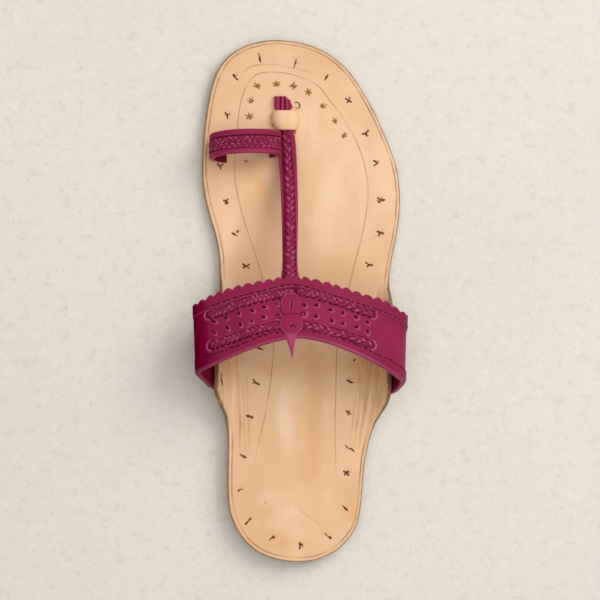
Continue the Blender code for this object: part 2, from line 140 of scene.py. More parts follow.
# The insole's two ears at the waist, a row for each section: how far their edge stands outside
# the sole's own outline on each side, and how high the edge is turned up.
EARS = (
    # along  medial  lateral  rise
    (58.0, 0.0, 0.0, 0.0),
    (63.2, 0.3, 0.6, 0.4),
    (67.7, 0.9, 1.8, 1.3),
    (72.3, 2.0, 3.8, 3.2),
    (76.4, 3.5, 5.6, 5.8),
    (80.4, 5.3, 6.8, 8.4),
    (84.5, 6.5, 6.7, 10.4),
    (92.5, 6.0, 5.7, 12.0),
    (99.0, 5.6, 5.1, 12.5),
    (108.0, 5.2, 4.6, 12.3),
    (118.0, 4.2, 4.2, 10.8),
    (125.0, 2.8, 3.6, 7.8),
    (130.0, 1.6, 2.6, 5.0),
    (135.0, 0.6, 1.2, 2.2),
    (140.0, 0.0, 0.3, 0.4),
    (144.0, 0.0, 0.0, 0.0),
)
EAR_FOLD = 5.6           # the fold lies this far inside the sole's outline
EAR_CURVE = 1.7          # power of the ear's upturned section

# The instep band, a row for each edge and place along it: outer face, millimetres.
BAND_T = 2.4
BAND_SQUARE = 2.25       # power of the arch: 2 is an ellipse, more is squarer
BAND_SWEEP = {"front": (0.42, 3.6), "rear": (0.0, 1.6)}  # how each edge falls back from its crown
BAND_ROOT = 0.62         # the band's end lies on the ear down to this share of its width
BAND = {
    # place: x, y, z
    "front": {"crown": (-7.5, 11.0, 47.0), "medial": (-52.9, -2.7, 29.0), "lateral": (50.8, -9.0, 29.0),
              "medial_root": (-8.5, -10.5), "lateral_root": (-14.5, -17.0)},
    "rear": {"crown": (-4.0, -18.4, 56.0), "medial": (-51.8, -34.8, 31.0), "lateral": (49.9, -39.7, 31.0),
             "medial_root": (-42.2, -44.5), "lateral_root": (-45.4, -47.5)},
}

# The toe strap, a row for each section from its front end back to the band: its top face.
TOE_STRAP_T = 2.6
TOE_STRAP = (
    # y      x     z_top  width
    (100.6, -9.4, 10.6, 8.7),
    (97.0, -9.2, 10.3, 8.7),
    (94.9, -8.9, 10.1, 8.5),
    (94.0, -8.8, 10.0, 6.7),
    (89.0, -8.2, 9.8, 6.6),
    (85.0, -7.7, 9.9, 6.6),
    (80.5, -7.4, 10.9, 7.6),
    (77.0, -7.3, 11.7, 8.1),
    (72.0, -7.3, 13.2, 8.6),
    (60.0, -7.0, 18.6, 8.4),
    (45.0, -6.9, 26.3, 8.1),
    (30.0, -7.2, 34.4, 7.5),
    (19.0, -7.5, 40.6, 7.3),
    (15.0, -7.6, 42.9, 7.7),
    (11.0, -7.6, 45.0, 8.9),
    (0.5, -7.6, 48.6, 9.2),
)

# The big-toe loop, a row for each section from its inner end to its outer end: its middle line.
LOOP_T = 2.4
LOOP_WIDTH = 11.8
TOE_LOOP = (
    # x      y      z
    (-37.8, 73.8, 4.9),
    (-39.3, 73.9, 7.6),
    (-42.8, 74.3, 10.0),
    (-44.8, 74.9, 15.6),
    (-43.2, 75.8, 21.4),
    (-37.2, 76.8, 26.2),
    (-28.0, 77.3, 27.7),
    (-18.8, 77.4, 25.2),
    (-13.2, 77.2, 19.6),
    (-12.4, 76.9, 14.2),
    (-13.6, 76.5, 9.6),
    (-15.6, 76.3, 4.9),
)
SLIT_CLEARANCE = 0.35

# The leather bridge that holds the toe strap's front end down on the insole, a row for each
# section: how wide and how high above the insole its outer face is.
BRIDGE_SQUARE = 2.8
TUNNEL_HALF, TUNNEL_SIDE, TUNNEL_TOP = 3.7, 3.15, 3.65
BRIDGE = (
    # y      x     half   high
    (84.0, -7.7, 5.1, 4.7),
    (85.2, -7.8, 5.9, 5.1),
    (87.2, -8.0, 6.7, 5.5),
    (89.4, -8.2, 7.0, 5.6),
    (91.4, -8.5, 6.8, 5.5),
    (92.8, -8.6, 6.2, 5.2),
    (93.7, -8.7, 5.5, 4.8),
)

# The ornament on the middle of the band: two round lobes and a pointed tail, laid over the band.
ORNAMENT_T = 1.3
ORNAMENT_X = -7.5
ORNAMENT = (
    # share of the band's width from its front edge, half width
    (0.255, 0.5),
    (0.275, 2.6),
    (0.33, 4.1),
    (0.43, 4.8),
    (0.53, 4.5),
    (0.60, 4.1),
    (0.64, 4.6),
    (0.71, 5.4),
    (0.78, 5.65),
    (0.85, 5.2),
    (0.91, 3.9),
    (0.945, 2.8),
    (0.97, 2.6),
    (1.10, 1.7),
    (1.24, 0.9),
    (1.36, 0.3),
)


# ---- curves through the tables --------------------------------------------------------------
def through(knots, values, t):
    """Smooth curve through (knot, value) pairs; each knot's slope comes from its neighbours."""
    n = len(knots)
    if t <= knots[0]:
        return values[0]
    if t >= knots[-1]:
        return values[-1]
    i = max(k for k in range(n - 1) if knots[k] <= t)

    def slope(k):
        if k == 0:
            return (values[1] - values[0]) / (knots[1] - knots[0])
        if k == n - 1:
            return (values[-1] - values[-2]) / (knots[-1] - knots[-2])
        a, b = knots[k] - knots[k - 1], knots[k + 1] - knots[k]
        sa, sb = (values[k] - values[k - 1]) / a, (values[k + 1] - values[k]) / b
        return (sa * b + sb * a) / (a + b)

    h = knots[i + 1] - knots[i]
    s = (t - knots[i]) / h
    m0, m1 = slope(i) * h, slope(i + 1) * h
    return (
        values[i] * (2 * s**3 - 3 * s**2 + 1)
        + m0 * (s**3 - 2 * s**2 + s)
        + values[i + 1] * (-2 * s**3 + 3 * s**2)
        + m1 * (s**3 - s**2)
    )


def smooth(a, b, t):
    s = min(1.0, max(0.0, (t - a) / (b - a)))
    return s * s * (3 - 2 * s)


def turn_of(along):
    """The outline is smooth in this angle, 0 at the heel end and pi at the toe's tip."""
    return math.acos(max(-1.0, min(1.0, 1 - 2 * along / SOLE_LENGTH)))


SOLE_TURNS = [turn_of(r[0]) for r in SOLE]


def edges(along):
    """Inner and outer edge of the sole at this distance from the heel end."""
    t = turn_of(along)
    return (
        through(SOLE_TURNS, [r[1] for r in SOLE], t),
        through(SOLE_TURNS, [r[2] for r in SOLE], t),
    )


def ear(along):
    rows = [r[0] for r in EARS]
    return [through(rows, [r[k] for r in EARS], along) for k in (1, 2, 3)]


def y_of(along):
    return along + HEEL_END


def ground(along):
    """Height of the outsole's underside."""
    z = (HEEL_LIFT + GAP) * (1 - smooth(HEEL_BREAST + 4, ARCH_FRONT, along))
    if along > SPRING_START:
        z += TOE_SPRING * ((along - SPRING_START) / (SOLE_LENGTH - SPRING_START)) ** 2
    return z


def deck(along):
    """Height of the insole's top face away from its ears."""
    return ground(along) + OUTSOLE_T + GAP + INSOLE_T


def ear_point(side, along, share, below=0.0):
    """Point on an ear: share 0 at its fold and 1 at its edge, on the top face or this far below it."""
    inner, outer = edges(along)
    flare_m, flare_l, rise = ear(along)
    edge, flare = (inner, flare_m) if side < 0 else (outer, flare_l)
    fold = edge - side * min(EAR_FOLD, 0.2 * (outer - inner))
    wide = abs(edge - fold) + flare
    if rise > 0:  # the turned-up leather's own thickness is part of the outline
        lean = rise * EAR_CURVE / wide
        wide -= INSOLE_T * lean / math.sqrt(1 + lean * lean)
    x = fold + side * wide * share
    z = deck(along) + rise * share**EAR_CURVE
    m = rise * EAR_CURVE / wide * share ** (EAR_CURVE - 1)
    n = math.sqrt(1 + m * m)
    return x + side * below * m / n, z - below / n


def band_path(edge):
    """Inner face of the band along one edge, from the inner side's root over the foot to the outer side's."""
    sizes = BAND[edge]
    cx, cy, cz = sizes["crown"]
    found = []
    for side, name in ((-1, "medial"), (1, "lateral")):
        sx, sy, sz = sizes[name]
        ear_y, root_y = sizes[name + "_root"]
        half = []
        for k in range(4):  # on the ear, below its edge
            share = BAND_ROOT + (1 - BAND_ROOT) * k / 3
            y = root_y + (ear_y - root_y) * k / 3
            x, z = ear_point(side, y - HEEL_END, share, INSOLE_T + GAP + 0.25)
            half.append((x, y, z))
        (x0, _, z0), (x1, y1, z1) = half[-2], half[-1]
        long = math.hypot(x1 - x0, z1 - z0)
        tx, tz = (x1 - x0) / long, (z1 - z0) / long
        ex, ez = sx - side * BAND_T, sz
        reach = 0.4 * math.hypot(ex - x1, ez - z1)
        for k in range(1, 7):  # out to the widest place
            s = k / 6
            w = ((1 - s) ** 3, 3 * s * (1 - s) ** 2, 3 * s * s * (1 - s), s**3)
            x = w[0] * x1 + w[1] * (x1 + tx * reach) + w[2] * ex + w[3] * ex
            z = w[0] * z1 + w[1] * (z1 + tz * reach) + w[2] * (ez - reach) + w[3] * ez
            half.append((x, y1 + (sy - y1) * s, z))
        top = cz - BAND_T
        steps = 16
        for k in range(1, steps + 1):  # over to the crown
            a = math.pi / 2 * k / steps
            wide = math.cos(a) ** (2 / BAND_SQUARE) if k < steps else 0.0
            high = math.sin(a) ** (2 / BAND_SQUARE)
            x = cx + (ex - cx) * wide
            z = ez + (top - ez) * high
            straight, power = BAND_SWEEP[edge]
            y = cy + (sy - cy) * (straight * wide + (1 - straight) * wide**power)
            half.append((x, y, z))
        found.append(half)
    return found[0] + found[1][-2::-1]


def sweep_frame(rows, k):
    a, b = rows[max(0, k - 1)], rows[min(len(rows) - 1, k + 1)]
    d = [b[i] - a[i] for i in range(3)]
    n = math.sqrt(sum(v * v for v in d))
    return [v / n for v in d]


# ---- the same curves, for whole arrays --------------------------------------------------------------
TURNS = np.linspace(0.0, math.pi, 3001)
ALONGS = SOLE_LENGTH / 2 * (1 - np.cos(TURNS))
INNER = np.array([through(SOLE_TURNS, [r[1] for r in SOLE], t) for t in TURNS])
OUTER = np.array([through(SOLE_TURNS, [r[2] for r in SOLE], t) for t in TURNS])
EVEN = np.linspace(0.0, SOLE_LENGTH, 1601)
DECK = np.array([deck(a) for a in EVEN])
EAR = np.array([ear(a) for a in EVEN])


def smooth_a(a, b, t):
    s = np.clip((t - a) / (b - a), 0, 1)
    return s * s * (3 - 2 * s)


def a_turn(along):
    return np.arccos(np.clip(1 - 2 * along / SOLE_LENGTH, -1, 1))


def a_edges(along):
    t = a_turn(along)
    return np.interp(t, TURNS, INNER), np.interp(t, TURNS, OUTER)


def ear_share(x, along, side):
    """How far up the ear on this side: 0 at its fold, 1 at its edge; and the ear's rise there."""
    inner, outer = a_edges(along)
    flare = np.interp(along, EVEN, EAR[:, 0 if side < 0 else 1])
    rise = np.interp(along, EVEN, EAR[:, 2])
    edge = inner if side < 0 else outer
    fold = edge - side * np.minimum(EAR_FOLD, 0.2 * (outer - inner))
    wide = np.abs(edge - fold) + flare
    lean = rise * EAR_CURVE / np.maximum(wide, 1e-6)
    wide = wide - INSOLE_T * lean / np.sqrt(1 + lean * lean)
    return np.clip(side * (x - fold) / np.maximum(wide, 1e-6), 0, 1.2), rise


def top_of(x, y):
    """Height of the insole's top face."""
    along = np.clip(y - HEEL_END, 0, SOLE_LENGTH)
    z = np.interp(along, EVEN, DECK)
    for side in (-1, 1):
        share, rise = ear_share(x, along, side)
        z = z + rise * share**EAR_CURVE
    return z


# Small marks below are charted as seen from above: u to the outer side and v to the heel, one step
# being half a millimetre of the insole.
def chart(u, v, z):
    s = (1108.0 - z) / 2224.5
    return -57.9 + (u - 300.0) * s, (300.0 - v) * s


def on_insole(u, v):
    z = 9.0
    for _ in range(6):
        x, y = chart(u, v, z)
        z = float(top_of(np.array(x), np.array(y)))
    return x, y, z


def catmull(points, per):
    """Smooth curve through points, per steps for each of them."""
    p = np.asarray(points, float)
    p = np.vstack([2 * p[0] - p[1], p, 2 * p[-1] - p[-2]])
    t = np.linspace(0, 1, per, endpoint=False)[:, None]
    out = []
    for i in range(1, len(p) - 2):
        a, b, c, d = p[i - 1], p[i], p[i + 1], p[i + 2]
        out.append(0.5 * (2 * b + (c - a) * t + (2 * a - 5 * b + 4 * c - d) * t**2 + (3 * b - a - 3 * c + d) * t**3))
    out.append(p[-2][None])
    return np.vstack(out)


def lengths_of(p):
    return np.concatenate([[0.0], np.cumsum(np.linalg.norm(np.diff(p, axis=0), axis=1))])


def resample(p, step):
    p = np.asarray(p, float)
    l = lengths_of(p)
    n = max(2, int(round(l[-1] / step)) + 1)
    want = np.linspace(0, l[-1], n)
    return np.stack([np.interp(want, l, p[:, c]) for c in range(p.shape[1])], axis=1)


def near_line(px, py, line):
    """Distance of every point to a line in the plane, signed by its side, and how far along it is (0 to 1)."""
    line = np.asarray(line, float)
    best = np.full(px.shape, 1e9)
    sign = np.ones(px.shape)
    where = np.zeros(px.shape)
    l = lengths_of(line)
    for k in range(len(line) - 1):
        ax, ay = line[k]
        dx, dy = line[k + 1] - line[k]
        n = dx * dx + dy * dy
        raw = ((px - ax) * dx + (py - ay) * dy) / n
        s = np.clip(raw, 0, 1)
        d = np.hypot(px - ax - dx * s, py - ay - dy * s)
        hit = d < best
        best = np.where(hit, d, best)
        sign = np.where(hit, np.sign((px - ax) * dy - (py - ay) * dx), sign)
        where = np.where(hit, (l[k] + s * math.sqrt(n)) / l[-1], where)
    return best, sign, where


def grains(x, y, seed, cell, octaves=3):
    """Smooth random values about 0, for soft unevenness."""
    total = np.zeros(np.shape(x))
    for o in range(octaves):
        gen = np.random.RandomState(seed + 17 * o)
        table = gen.rand(64, 64) * 2 - 1
        fx, fy = np.asarray(x) / cell * 2**o, np.asarray(y) / cell * 2**o
        ix, iy = np.floor(fx).astype(int), np.floor(fy).astype(int)
        tx, ty = fx - ix, fy - iy
        tx, ty = tx * tx * (3 - 2 * tx), ty * ty * (3 - 2 * ty)
        g = lambda a, b: table[a % 64, b % 64]
        total += ((g(ix, iy) * (1 - tx) + g(ix + 1, iy) * tx) * (1 - ty)
                  + (g(ix, iy + 1) * (1 - tx) + g(ix + 1, iy + 1) * tx) * ty) * 0.5**o
    return total


def make(name, verts, faces, materials, which=None, values=None, smooth_angle=40, slot=None, stands_for=()):
    """Mesh from millimetres; which has a material number for each face, values a number for each vertex."""
    verts = np.asarray(verts, float)
    mesh = bpy.data.meshes.new(name)
    pts = (verts + np.array([CENTRE_X, CENTRE_Y, 0.0])) * MM
    mesh.from_pydata(pts.tolist(), [], faces if isinstance(faces, list) else faces.tolist())
    for m in materials if isinstance(materials, (list, tuple)) else [materials]:
        mesh.materials.append(m)
    if which is not None:
        mesh.polygons.foreach_set("material_index", np.asarray(which, dtype=np.int32))
    for key, v in (values or {}).items():
        layer = mesh.attributes.new(key, "FLOAT", "POINT")
        layer.data.foreach_set("value", np.asarray(v, dtype=np.float32))
    mesh.update()
    mesh.shade_smooth()
    if smooth_angle:
        mesh.set_sharp_from_angle(angle=math.radians(smooth_angle))
    o = bpy.data.objects.new(name, mesh)
    scene.collection.objects.link(o)
    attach(o, "root")
    if stands_for:
        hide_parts(*stands_for)
    return o


def grid_faces(rows, cols, start=0, wrap=False, flip=False):
    """Quads of a grid of rows x cols vertices; wrap joins the last column to the first."""
    r = np.arange(rows - 1)[:, None] * cols
    c = np.arange(cols if wrap else cols - 1)[None, :]
    d = (c + 1) % cols
    f = np.stack([r + c, r + d, r + cols + d, r + cols + c], axis=-1).reshape(-1, 4) + start
    return f[:, ::-1] if flip else f


class Heap:
    """Gathers parts of one mesh."""

    def __init__(self):
        self.v, self.f, self.m, self.n, self.val = [], [], [], 0, {}

    def add(self, verts, faces, material=0, **values):
        verts = np.asarray(verts, float).reshape(-1, 3)
        self.v.append(verts)
        faces = [[int(i) + self.n for i in f] for f in faces]
        self.f += faces
        self.m += [material] * len(faces)
        for key in set(self.val) | set(values):
            if key not in self.val:
                self.val[key] = [np.zeros(self.n)]
            v = values.get(key, 0.0)
            self.val[key].append(np.full(len(verts), v, float) if np.isscalar(v) else np.asarray(v, float).ravel())
        self.n += len(verts)

    def make(self, name, materials, **options):
        return make(name, np.vstack(self.v), self.f, materials, which=self.m,
                    values={k: np.concatenate(v) for k, v in self.val.items()}, **options)


def tube(heap, line, radius, sides=8, material=0, flat=1.0, ups=None, taper=0.0, **values):
    """Rod along a line with rounded ends; flat squeezes it towards ups, the face it lies on."""
    p = np.asarray(line, float)
    n = len(p)
    t = np.gradient(p, axis=0)
    t /= np.linalg.norm(t, axis=1)[:, None]
    up = np.tile([0.0, 0.0, 1.0], (n, 1)) if ups is None else np.asarray(ups, float).reshape(-1, 3) * np.ones((n, 1))
    side = np.cross(t, up)
    side /= np.maximum(np.linalg.norm(side, axis=1), 1e-9)[:, None]
    up = np.cross(side, t)
    r = np.full(n, float(radius)) if np.isscalar(radius) else np.asarray(radius, float)
    caps = [0.0, 0.5, 0.85]
    pts, rr, ss, uu = [], [], [], []
    for c in caps:
        pts.append(p[0] - t[0] * r[0] * flat * (1 - c)); rr.append(r[0] * math.sqrt(max(0.0, 1 - (1 - c) ** 2)) + 0.02 * r[0]); ss.append(side[0]); uu.append(up[0])
    for k in range(n):
        pts.append(p[k]); rr.append(r[k]); ss.append(side[k]); uu.append(up[k])
    for c in caps[::-1]:
        pts.append(p[-1] + t[-1] * r[-1] * flat * (1 - c)); rr.append(r[-1] * math.sqrt(max(0.0, 1 - (1 - c) ** 2)) + 0.02 * r[-1]); ss.append(side[-1]); uu.append(up[-1])
    pts, rr, ss, uu = map(np.array, (pts, rr, ss, uu))
    a = np.linspace(0, 2 * math.pi, sides, endpoint=False)
    v = pts[:, None] + ss[:, None] * (np.cos(a)[None, :, None] * rr[:, None, None]) + uu[:, None] * (np.sin(a)[None, :, None] * rr[:, None, None] * flat)
    faces = grid_faces(len(pts), sides, wrap=True).tolist()
    faces.append(list(range(sides))[::-1])
    faces.append([(len(pts) - 1) * sides + i for i in range(sides)])
    heap.add(v.reshape(-1, 3), faces, material, **values)


# ---- materials --------------------------------------------------------------------------------------
class Shade:
    """Short names for building a node material."""

    def __init__(self, name):
        self.mat = bpy.data.materials.new(name)
        self.mat.use_nodes = True
        self.t = self.mat.node_tree
        self.p = self.t.nodes["Principled BSDF"]
        self.p.inputs["Metallic"].default_value = 0.0

    def put(self, socket, value):
        if isinstance(value, bpy.types.NodeSocket):
            self.t.links.new(value, socket)
        else:
            socket.default_value = value

    def coords(self):
        return self.t.nodes.new("ShaderNodeTexCoord").outputs["Object"]

    def scaled(self, scale, turn=(0, 0, 0)):
        m = self.t.nodes.new("ShaderNodeMapping")
        self.t.links.new(self.coords(), m.inputs["Vector"])
        m.inputs["Scale"].default_value = scale
        m.inputs["Rotation"].default_value = turn
        return m.outputs["Vector"]

    def noise(self, scale, detail=4.0, rough=0.55, vector=None, distortion=0.0):
        n = self.t.nodes.new("ShaderNodeTexNoise")
        self.t.links.new(vector or self.coords(), n.inputs["Vector"])
        n.inputs["Scale"].default_value = scale
        n.inputs["Detail"].default_value = detail
        n.inputs["Roughness"].default_value = rough
        n.inputs["Distortion"].default_value = distortion
        return n.outputs["Fac"]

    def cells(self, scale, vector=None, feature="F1"):
        n = self.t.nodes.new("ShaderNodeTexVoronoi")
        n.feature = feature
        self.t.links.new(vector or self.coords(), n.inputs["Vector"])
        n.inputs["Scale"].default_value = scale
        return n.outputs["Distance"]

    def attribute(self, name):
        n = self.t.nodes.new("ShaderNodeAttribute")
        n.attribute_name = name
        return n.outputs["Fac"]

    def math(self, op, a, b=0.0, c=0.0, clamp=False):
        n = self.t.nodes.new("ShaderNodeMath")
        n.operation = op
        n.use_clamp = clamp
        for i, v in enumerate((a, b, c)):
            self.put(n.inputs[i], v)
        return n.outputs[0]

    def span(self, value, a, b, lo=0.0, hi=1.0, soft=True):
        n = self.t.nodes.new("ShaderNodeMapRange")
        if soft:
            n.interpolation_type = "SMOOTHSTEP"
        for key, v in (("Value", value), ("From Min", a), ("From Max", b), ("To Min", lo), ("To Max", hi)):
            self.put(n.inputs[key], v)
        return n.outputs["Result"]

    def mix(self, fac, a, b, blend="MIX"):
        n = self.t.nodes.new("ShaderNodeMix")
        n.data_type = "RGBA"
        n.blend_type = blend
        self.put(n.inputs["Factor"], fac)
        for i, v in ((6, a), (7, b)):
            self.put(n.inputs[i], (*v, 1) if isinstance(v, tuple) and len(v) == 3 else v)
        return n.outputs[2]

    def bump(self, height, depth, normal=None, strength=1.0):
        n = self.t.nodes.new("ShaderNodeBump")
        n.inputs["Strength"].default_value = strength
        n.inputs["Distance"].default_value = depth
        self.t.links.new(height, n.inputs["Height"])
        if normal:
            self.t.links.new(normal, n.inputs["Normal"])
        return n.outputs["Normal"]

    def finish(self, colour, rough, normal=None, coat=0.0, coat_rough=0.3, specular=0.5, sheen=0.0):
        self.put(self.p.inputs["Base Color"], (*colour, 1) if isinstance(colour, tuple) and len(colour) == 3 else colour)
        self.put(self.p.inputs["Roughness"], rough)
        self.p.inputs["Specular IOR Level"].default_value = specular
        self.p.inputs["Coat Weight"].default_value = coat
        self.p.inputs["Coat Roughness"].default_value = coat_rough
        self.p.inputs["Sheen Weight"].default_value = sheen
        if normal:
            self.t.links.new(normal, self.p.inputs["Normal"])
        return self.mat


def groove(s, value, width):
    """1 on the line and fading to 0 this far from it."""
    d = s.math("ABSOLUTE", value)
    return s.span(d, 0.0, width, 1.0, 0.0)


def tan_leather(name, base=(0.90, 0.605, 0.372), marks=True, streak=1.0):
    """Smooth natural leather: soft mottling, long faint streaks, pores, tooled lines, burnished rim."""
    s = Shade(name)
    broad = s.noise(16.0, 4.0, 0.55)
    blotch = s.noise(62.0, 5.0, 0.6)
    drift = s.noise(17.0, 4.0, 0.6, s.scaled((1.0, 0.34, 1.0)))
    fibre = s.noise(90.0, 4.0, 0.6, s.scaled((1.0, 0.10, 1.0)))
    fine = s.noise(420.0, 3.0, 0.6)
    darker = tuple(c * k for c, k in zip(base, (0.93, 0.865, 0.79)))
    lighter = (min(1.0, base[0] * 1.05), base[1] * 1.08, base[2] * 1.13)
    colour = s.mix(s.span(broad, 0.36, 0.64), darker, lighter)
    colour = s.mix(s.math("MULTIPLY", s.span(blotch, 0.48, 0.70), 0.42), colour, darker)
    colour = s.mix(s.math("MULTIPLY", s.span(fibre, 0.50, 0.68), 0.20 * streak), colour, tuple(c * 0.8 for c in darker))
    colour = s.mix(s.math("MULTIPLY", s.span(drift, 0.47, 0.66), 0.55), colour, (base[0] * 0.93, base[1] * 0.83, base[2] * 0.71))
    colour = s.mix(s.math("MULTIPLY", s.span(drift, 0.46, 0.30), 0.35), colour, (min(1.0, base[0] * 1.06), base[1] * 1.11, base[2] * 1.20))
    pores = s.span(s.cells(950.0), 0.0, 0.34, 1.0, 0.0)
    colour = s.mix(s.math("MULTIPLY", pores, s.span(fine, 0.45, 0.65, 0.0, 0.22)), colour, tuple(c * 0.55 for c in darker))
    height = s.math("MULTIPLY_ADD", fibre, 0.5 * streak, s.math("MULTIPLY", fine, 0.5))
    normal = s.bump(height, 0.00016)
    if marks:
        rim = s.attribute("rim")
        line_a = groove(s, s.attribute("line_a"), 0.42)
        line_a = s.math("MULTIPLY", line_a, s.attribute("line_a_on"))
        line_b = s.math("MULTIPLY", groove(s, s.attribute("line_b"), 0.55), s.attribute("line_b_on"))
        wobble = s.math("MULTIPLY_ADD", s.noise(120.0, 3.0), 0.7, s.math("ADD", rim, -0.35))
        rim_line = groove(s, s.math("ADD", wobble, -1.9), 0.40)
        worn = s.noise(70.0, 4.0, 0.6)
        tooled = s.math("MAXIMUM", s.math("MULTIPLY", line_a, s.span(worn, 0.35, 0.55, 0.35, 0.85)),
                        s.math("MULTIPLY", line_b, s.span(worn, 0.42, 0.58, 0.30, 0.75)))
        rim_line = s.math("MULTIPLY", rim_line, s.attribute("rim_on"))
        tooled = s.math("MAXIMUM", tooled, s.math("MULTIPLY", rim_line, s.span(worn, 0.38, 0.6, 0.25, 0.95)))
        tone = s.attribute("tone")
        # warmer and darker: the leather's own mottling, and painted shade where the strap, loop and band shade the
        # insole
        colour = s.mix(s.span(tone, 0.02, 0.85, 0.0, 0.95), colour, (base[0] * 0.93, base[1] * 0.80, base[2] * 0.62))
        colour = s.mix(s.span(tone, -0.02, -0.7, 0.0, 0.85), colour, (min(1.0, base[0] * 1.05), base[1] * 1.12, base[2] * 1.26))
        fold = s.attribute("fold")
        pleat = s.noise(560.0, 4.0, 0.66, s.scaled((1.0, 0.045, 1.0)))
        # painted shade in the fold's pleat valleys and painted highlight on its ridges
        colour = s.mix(s.math("MULTIPLY", fold, s.span(pleat, 0.54, 0.68, 0.0, 0.34)), colour, (0.50, 0.24, 0.095))
        colour = s.mix(s.math("MULTIPLY", fold, s.span(pleat, 0.47, 0.36, 0.0, 0.55)), colour, (min(1.0, base[0] * 1.08), base[1] * 1.16, base[2] * 1.24))
        brown = (0.42, 0.205, 0.085)
        colour = s.mix(s.math("MULTIPLY", tooled, 0.56), colour, brown)
        ticks = s.span(s.noise(520.0, 2.0, 0.7), 0.50, 0.66)
        on_rim = s.span(rim, 0.2, 1.8, 1.0, 0.0)
        colour = s.mix(s.math("MULTIPLY", s.math("MULTIPLY", on_rim, ticks), 0.40), colour, brown)
        edge = s.span(s.math("MULTIPLY_ADD", s.noise(260.0, 3.0), 0.8, s.math("ADD", rim, -0.4)), 0.05, 0.75, 0.88, 0.0)
        colour = s.mix(edge, colour, (0.25, 0.105, 0.042))
        # grime and painted shade: darker on the ears, in their creases and along a crease and a scratch
        soil = s.attribute("soil")
        grime_and_shade_mix = s.math("MULTIPLY", soil, s.span(s.noise(42.0, 5.0, 0.65), 0.25, 0.75, 0.5, 1.0))
        colour = s.mix(s.math("MULTIPLY", grime_and_shade_mix, 0.80), colour, (0.44, 0.215, 0.085))
        dips = s.math("MULTIPLY_ADD", tooled, -1.0, 1.0)
        normal = s.bump(dips, 0.00028, normal)
        normal = s.bump(s.math("MULTIPLY", fold, pleat), 0.0010, normal)
    rough = s.span(blotch, 0.3, 0.7, 0.46, 0.60)
    return s.finish(colour, rough, normal, coat=0.06, coat_rough=0.42, specular=0.38)


def wine_leather(name, base=(0.285, 0.0165, 0.071), deep=(0.095, 0.0015, 0.015), gloss=0.0, shine=0.085):
    """Dyed smooth leather: close grain, a soft shine; painted shade darkens it in recesses and down the band's sides,
    and painted highlights lighten it on edges, rims and raised strands.
    """
    s = Shade(name)
    broad = s.noise(38.0, 3.0, 0.5)
    fine = s.noise(900.0, 3.0, 0.6)
    grain = s.cells(1500.0)
    colour = s.mix(s.span(broad, 0.32, 0.68, 0.0, 1.0), tuple(c * 0.90 for c in base), tuple(min(1, c * 1.10) for c in base))
    hollow = s.attribute("hollow")
    # painted shade: faces turned towards the inner side are darkened, as they get little light
    colour = s.mix(s.attribute("side"), colour, (0.225, 0.0006, 0.036))
    # painted shade: darker towards the deep colour in grooves, holes, channels and on the turned-down sides
    colour = s.mix(s.math("MULTIPLY", hollow, 0.85, clamp=True), colour, deep)
    # painted highlight: lighter pink on edges, rims and raised strands where the light catches them
    colour = s.mix(s.math("MULTIPLY", s.attribute("rubbed"), 0.8, clamp=True), colour, (0.60, 0.15, 0.29))
    height = s.math("MULTIPLY_ADD", fine, 0.6, s.math("MULTIPLY", grain, 0.55))
    normal = s.bump(height, 0.00006)
    normal = s.bump(s.noise(190.0, 3.0, 0.55), 0.00016, normal)
    rough = s.span(fine, 0.3, 0.7, 0.46 - gloss, 0.58 - gloss)
    return s.finish(colour, rough, normal, coat=0.0, specular=shine)


def thread(name, colour, rough=0.7):
    s = Shade(name)
    wound = s.noise(1400.0, 2.0, 0.6)
    c = s.mix(s.span(wound, 0.35, 0.65), tuple(v * 0.65 for v in colour), tuple(min(1, v * 1.3) for v in colour))
    return s.finish(c, rough, s.bump(wound, 0.00012), specular=0.08)


def sole_edge(name, dark=(0.20, 0.095, 0.042), light=(0.47, 0.27, 0.135), layers=False, lines=0.0):
    """Cut and burnished leather edge: fibres along it, stains, and the joints of its layers."""
    s = Shade(name)
    fibre = s.noise(520.0, 5.0, 0.65, s.scaled((0.12, 0.12, 1.0)))
    stain = s.noise(55.0, 4.0, 0.6)
    colour = s.mix(s.span(fibre, 0.34, 0.66), dark, light)
    colour = s.mix(s.math("MULTIPLY", s.span(stain, 0.45, 0.65), 0.5), colour, tuple(c * 0.6 for c in dark))
    normal = s.bump(fibre, 0.00022)
    if layers:
        joint = s.attribute("joint")
        colour = s.mix(s.math("MULTIPLY", joint, 0.85), colour, tuple(c * 0.35 for c in dark))
    return s.finish(colour, s.span(fibre, 0.3, 0.7, 0.42, 0.66), normal, coat=0.03, coat_rough=0.45, specular=0.22)


def sole_under(name):
    """The walked side: firm leather, lightly scuffed."""
    s = Shade(name)
    patch = s.noise(22.0, 5.0, 0.6)
    grain = s.noise(600.0, 4.0, 0.6)
    scuff = s.noise(240.0, 5.0, 0.7, s.scaled((1.0, 0.16, 1.0), (0, 0, 0.35)))
    colour = s.mix(s.span(patch, 0.35, 0.65), (0.40, 0.225, 0.11), (0.55, 0.335, 0.175))
    colour = s.mix(s.math("MULTIPLY", s.span(scuff, 0.52, 0.70), 0.45), colour, (0.22, 0.12, 0.06))
    colour = s.mix(s.math("MULTIPLY", s.attribute("joint"), 0.8), colour, (0.12, 0.06, 0.028))
    normal = s.bump(s.math("MULTIPLY_ADD", scuff, 0.7, s.math("MULTIPLY", grain, 0.4)), 0.0002)
    return s.finish(colour, s.span(patch, 0.3, 0.7, 0.5, 0.72), normal, specular=0.35)


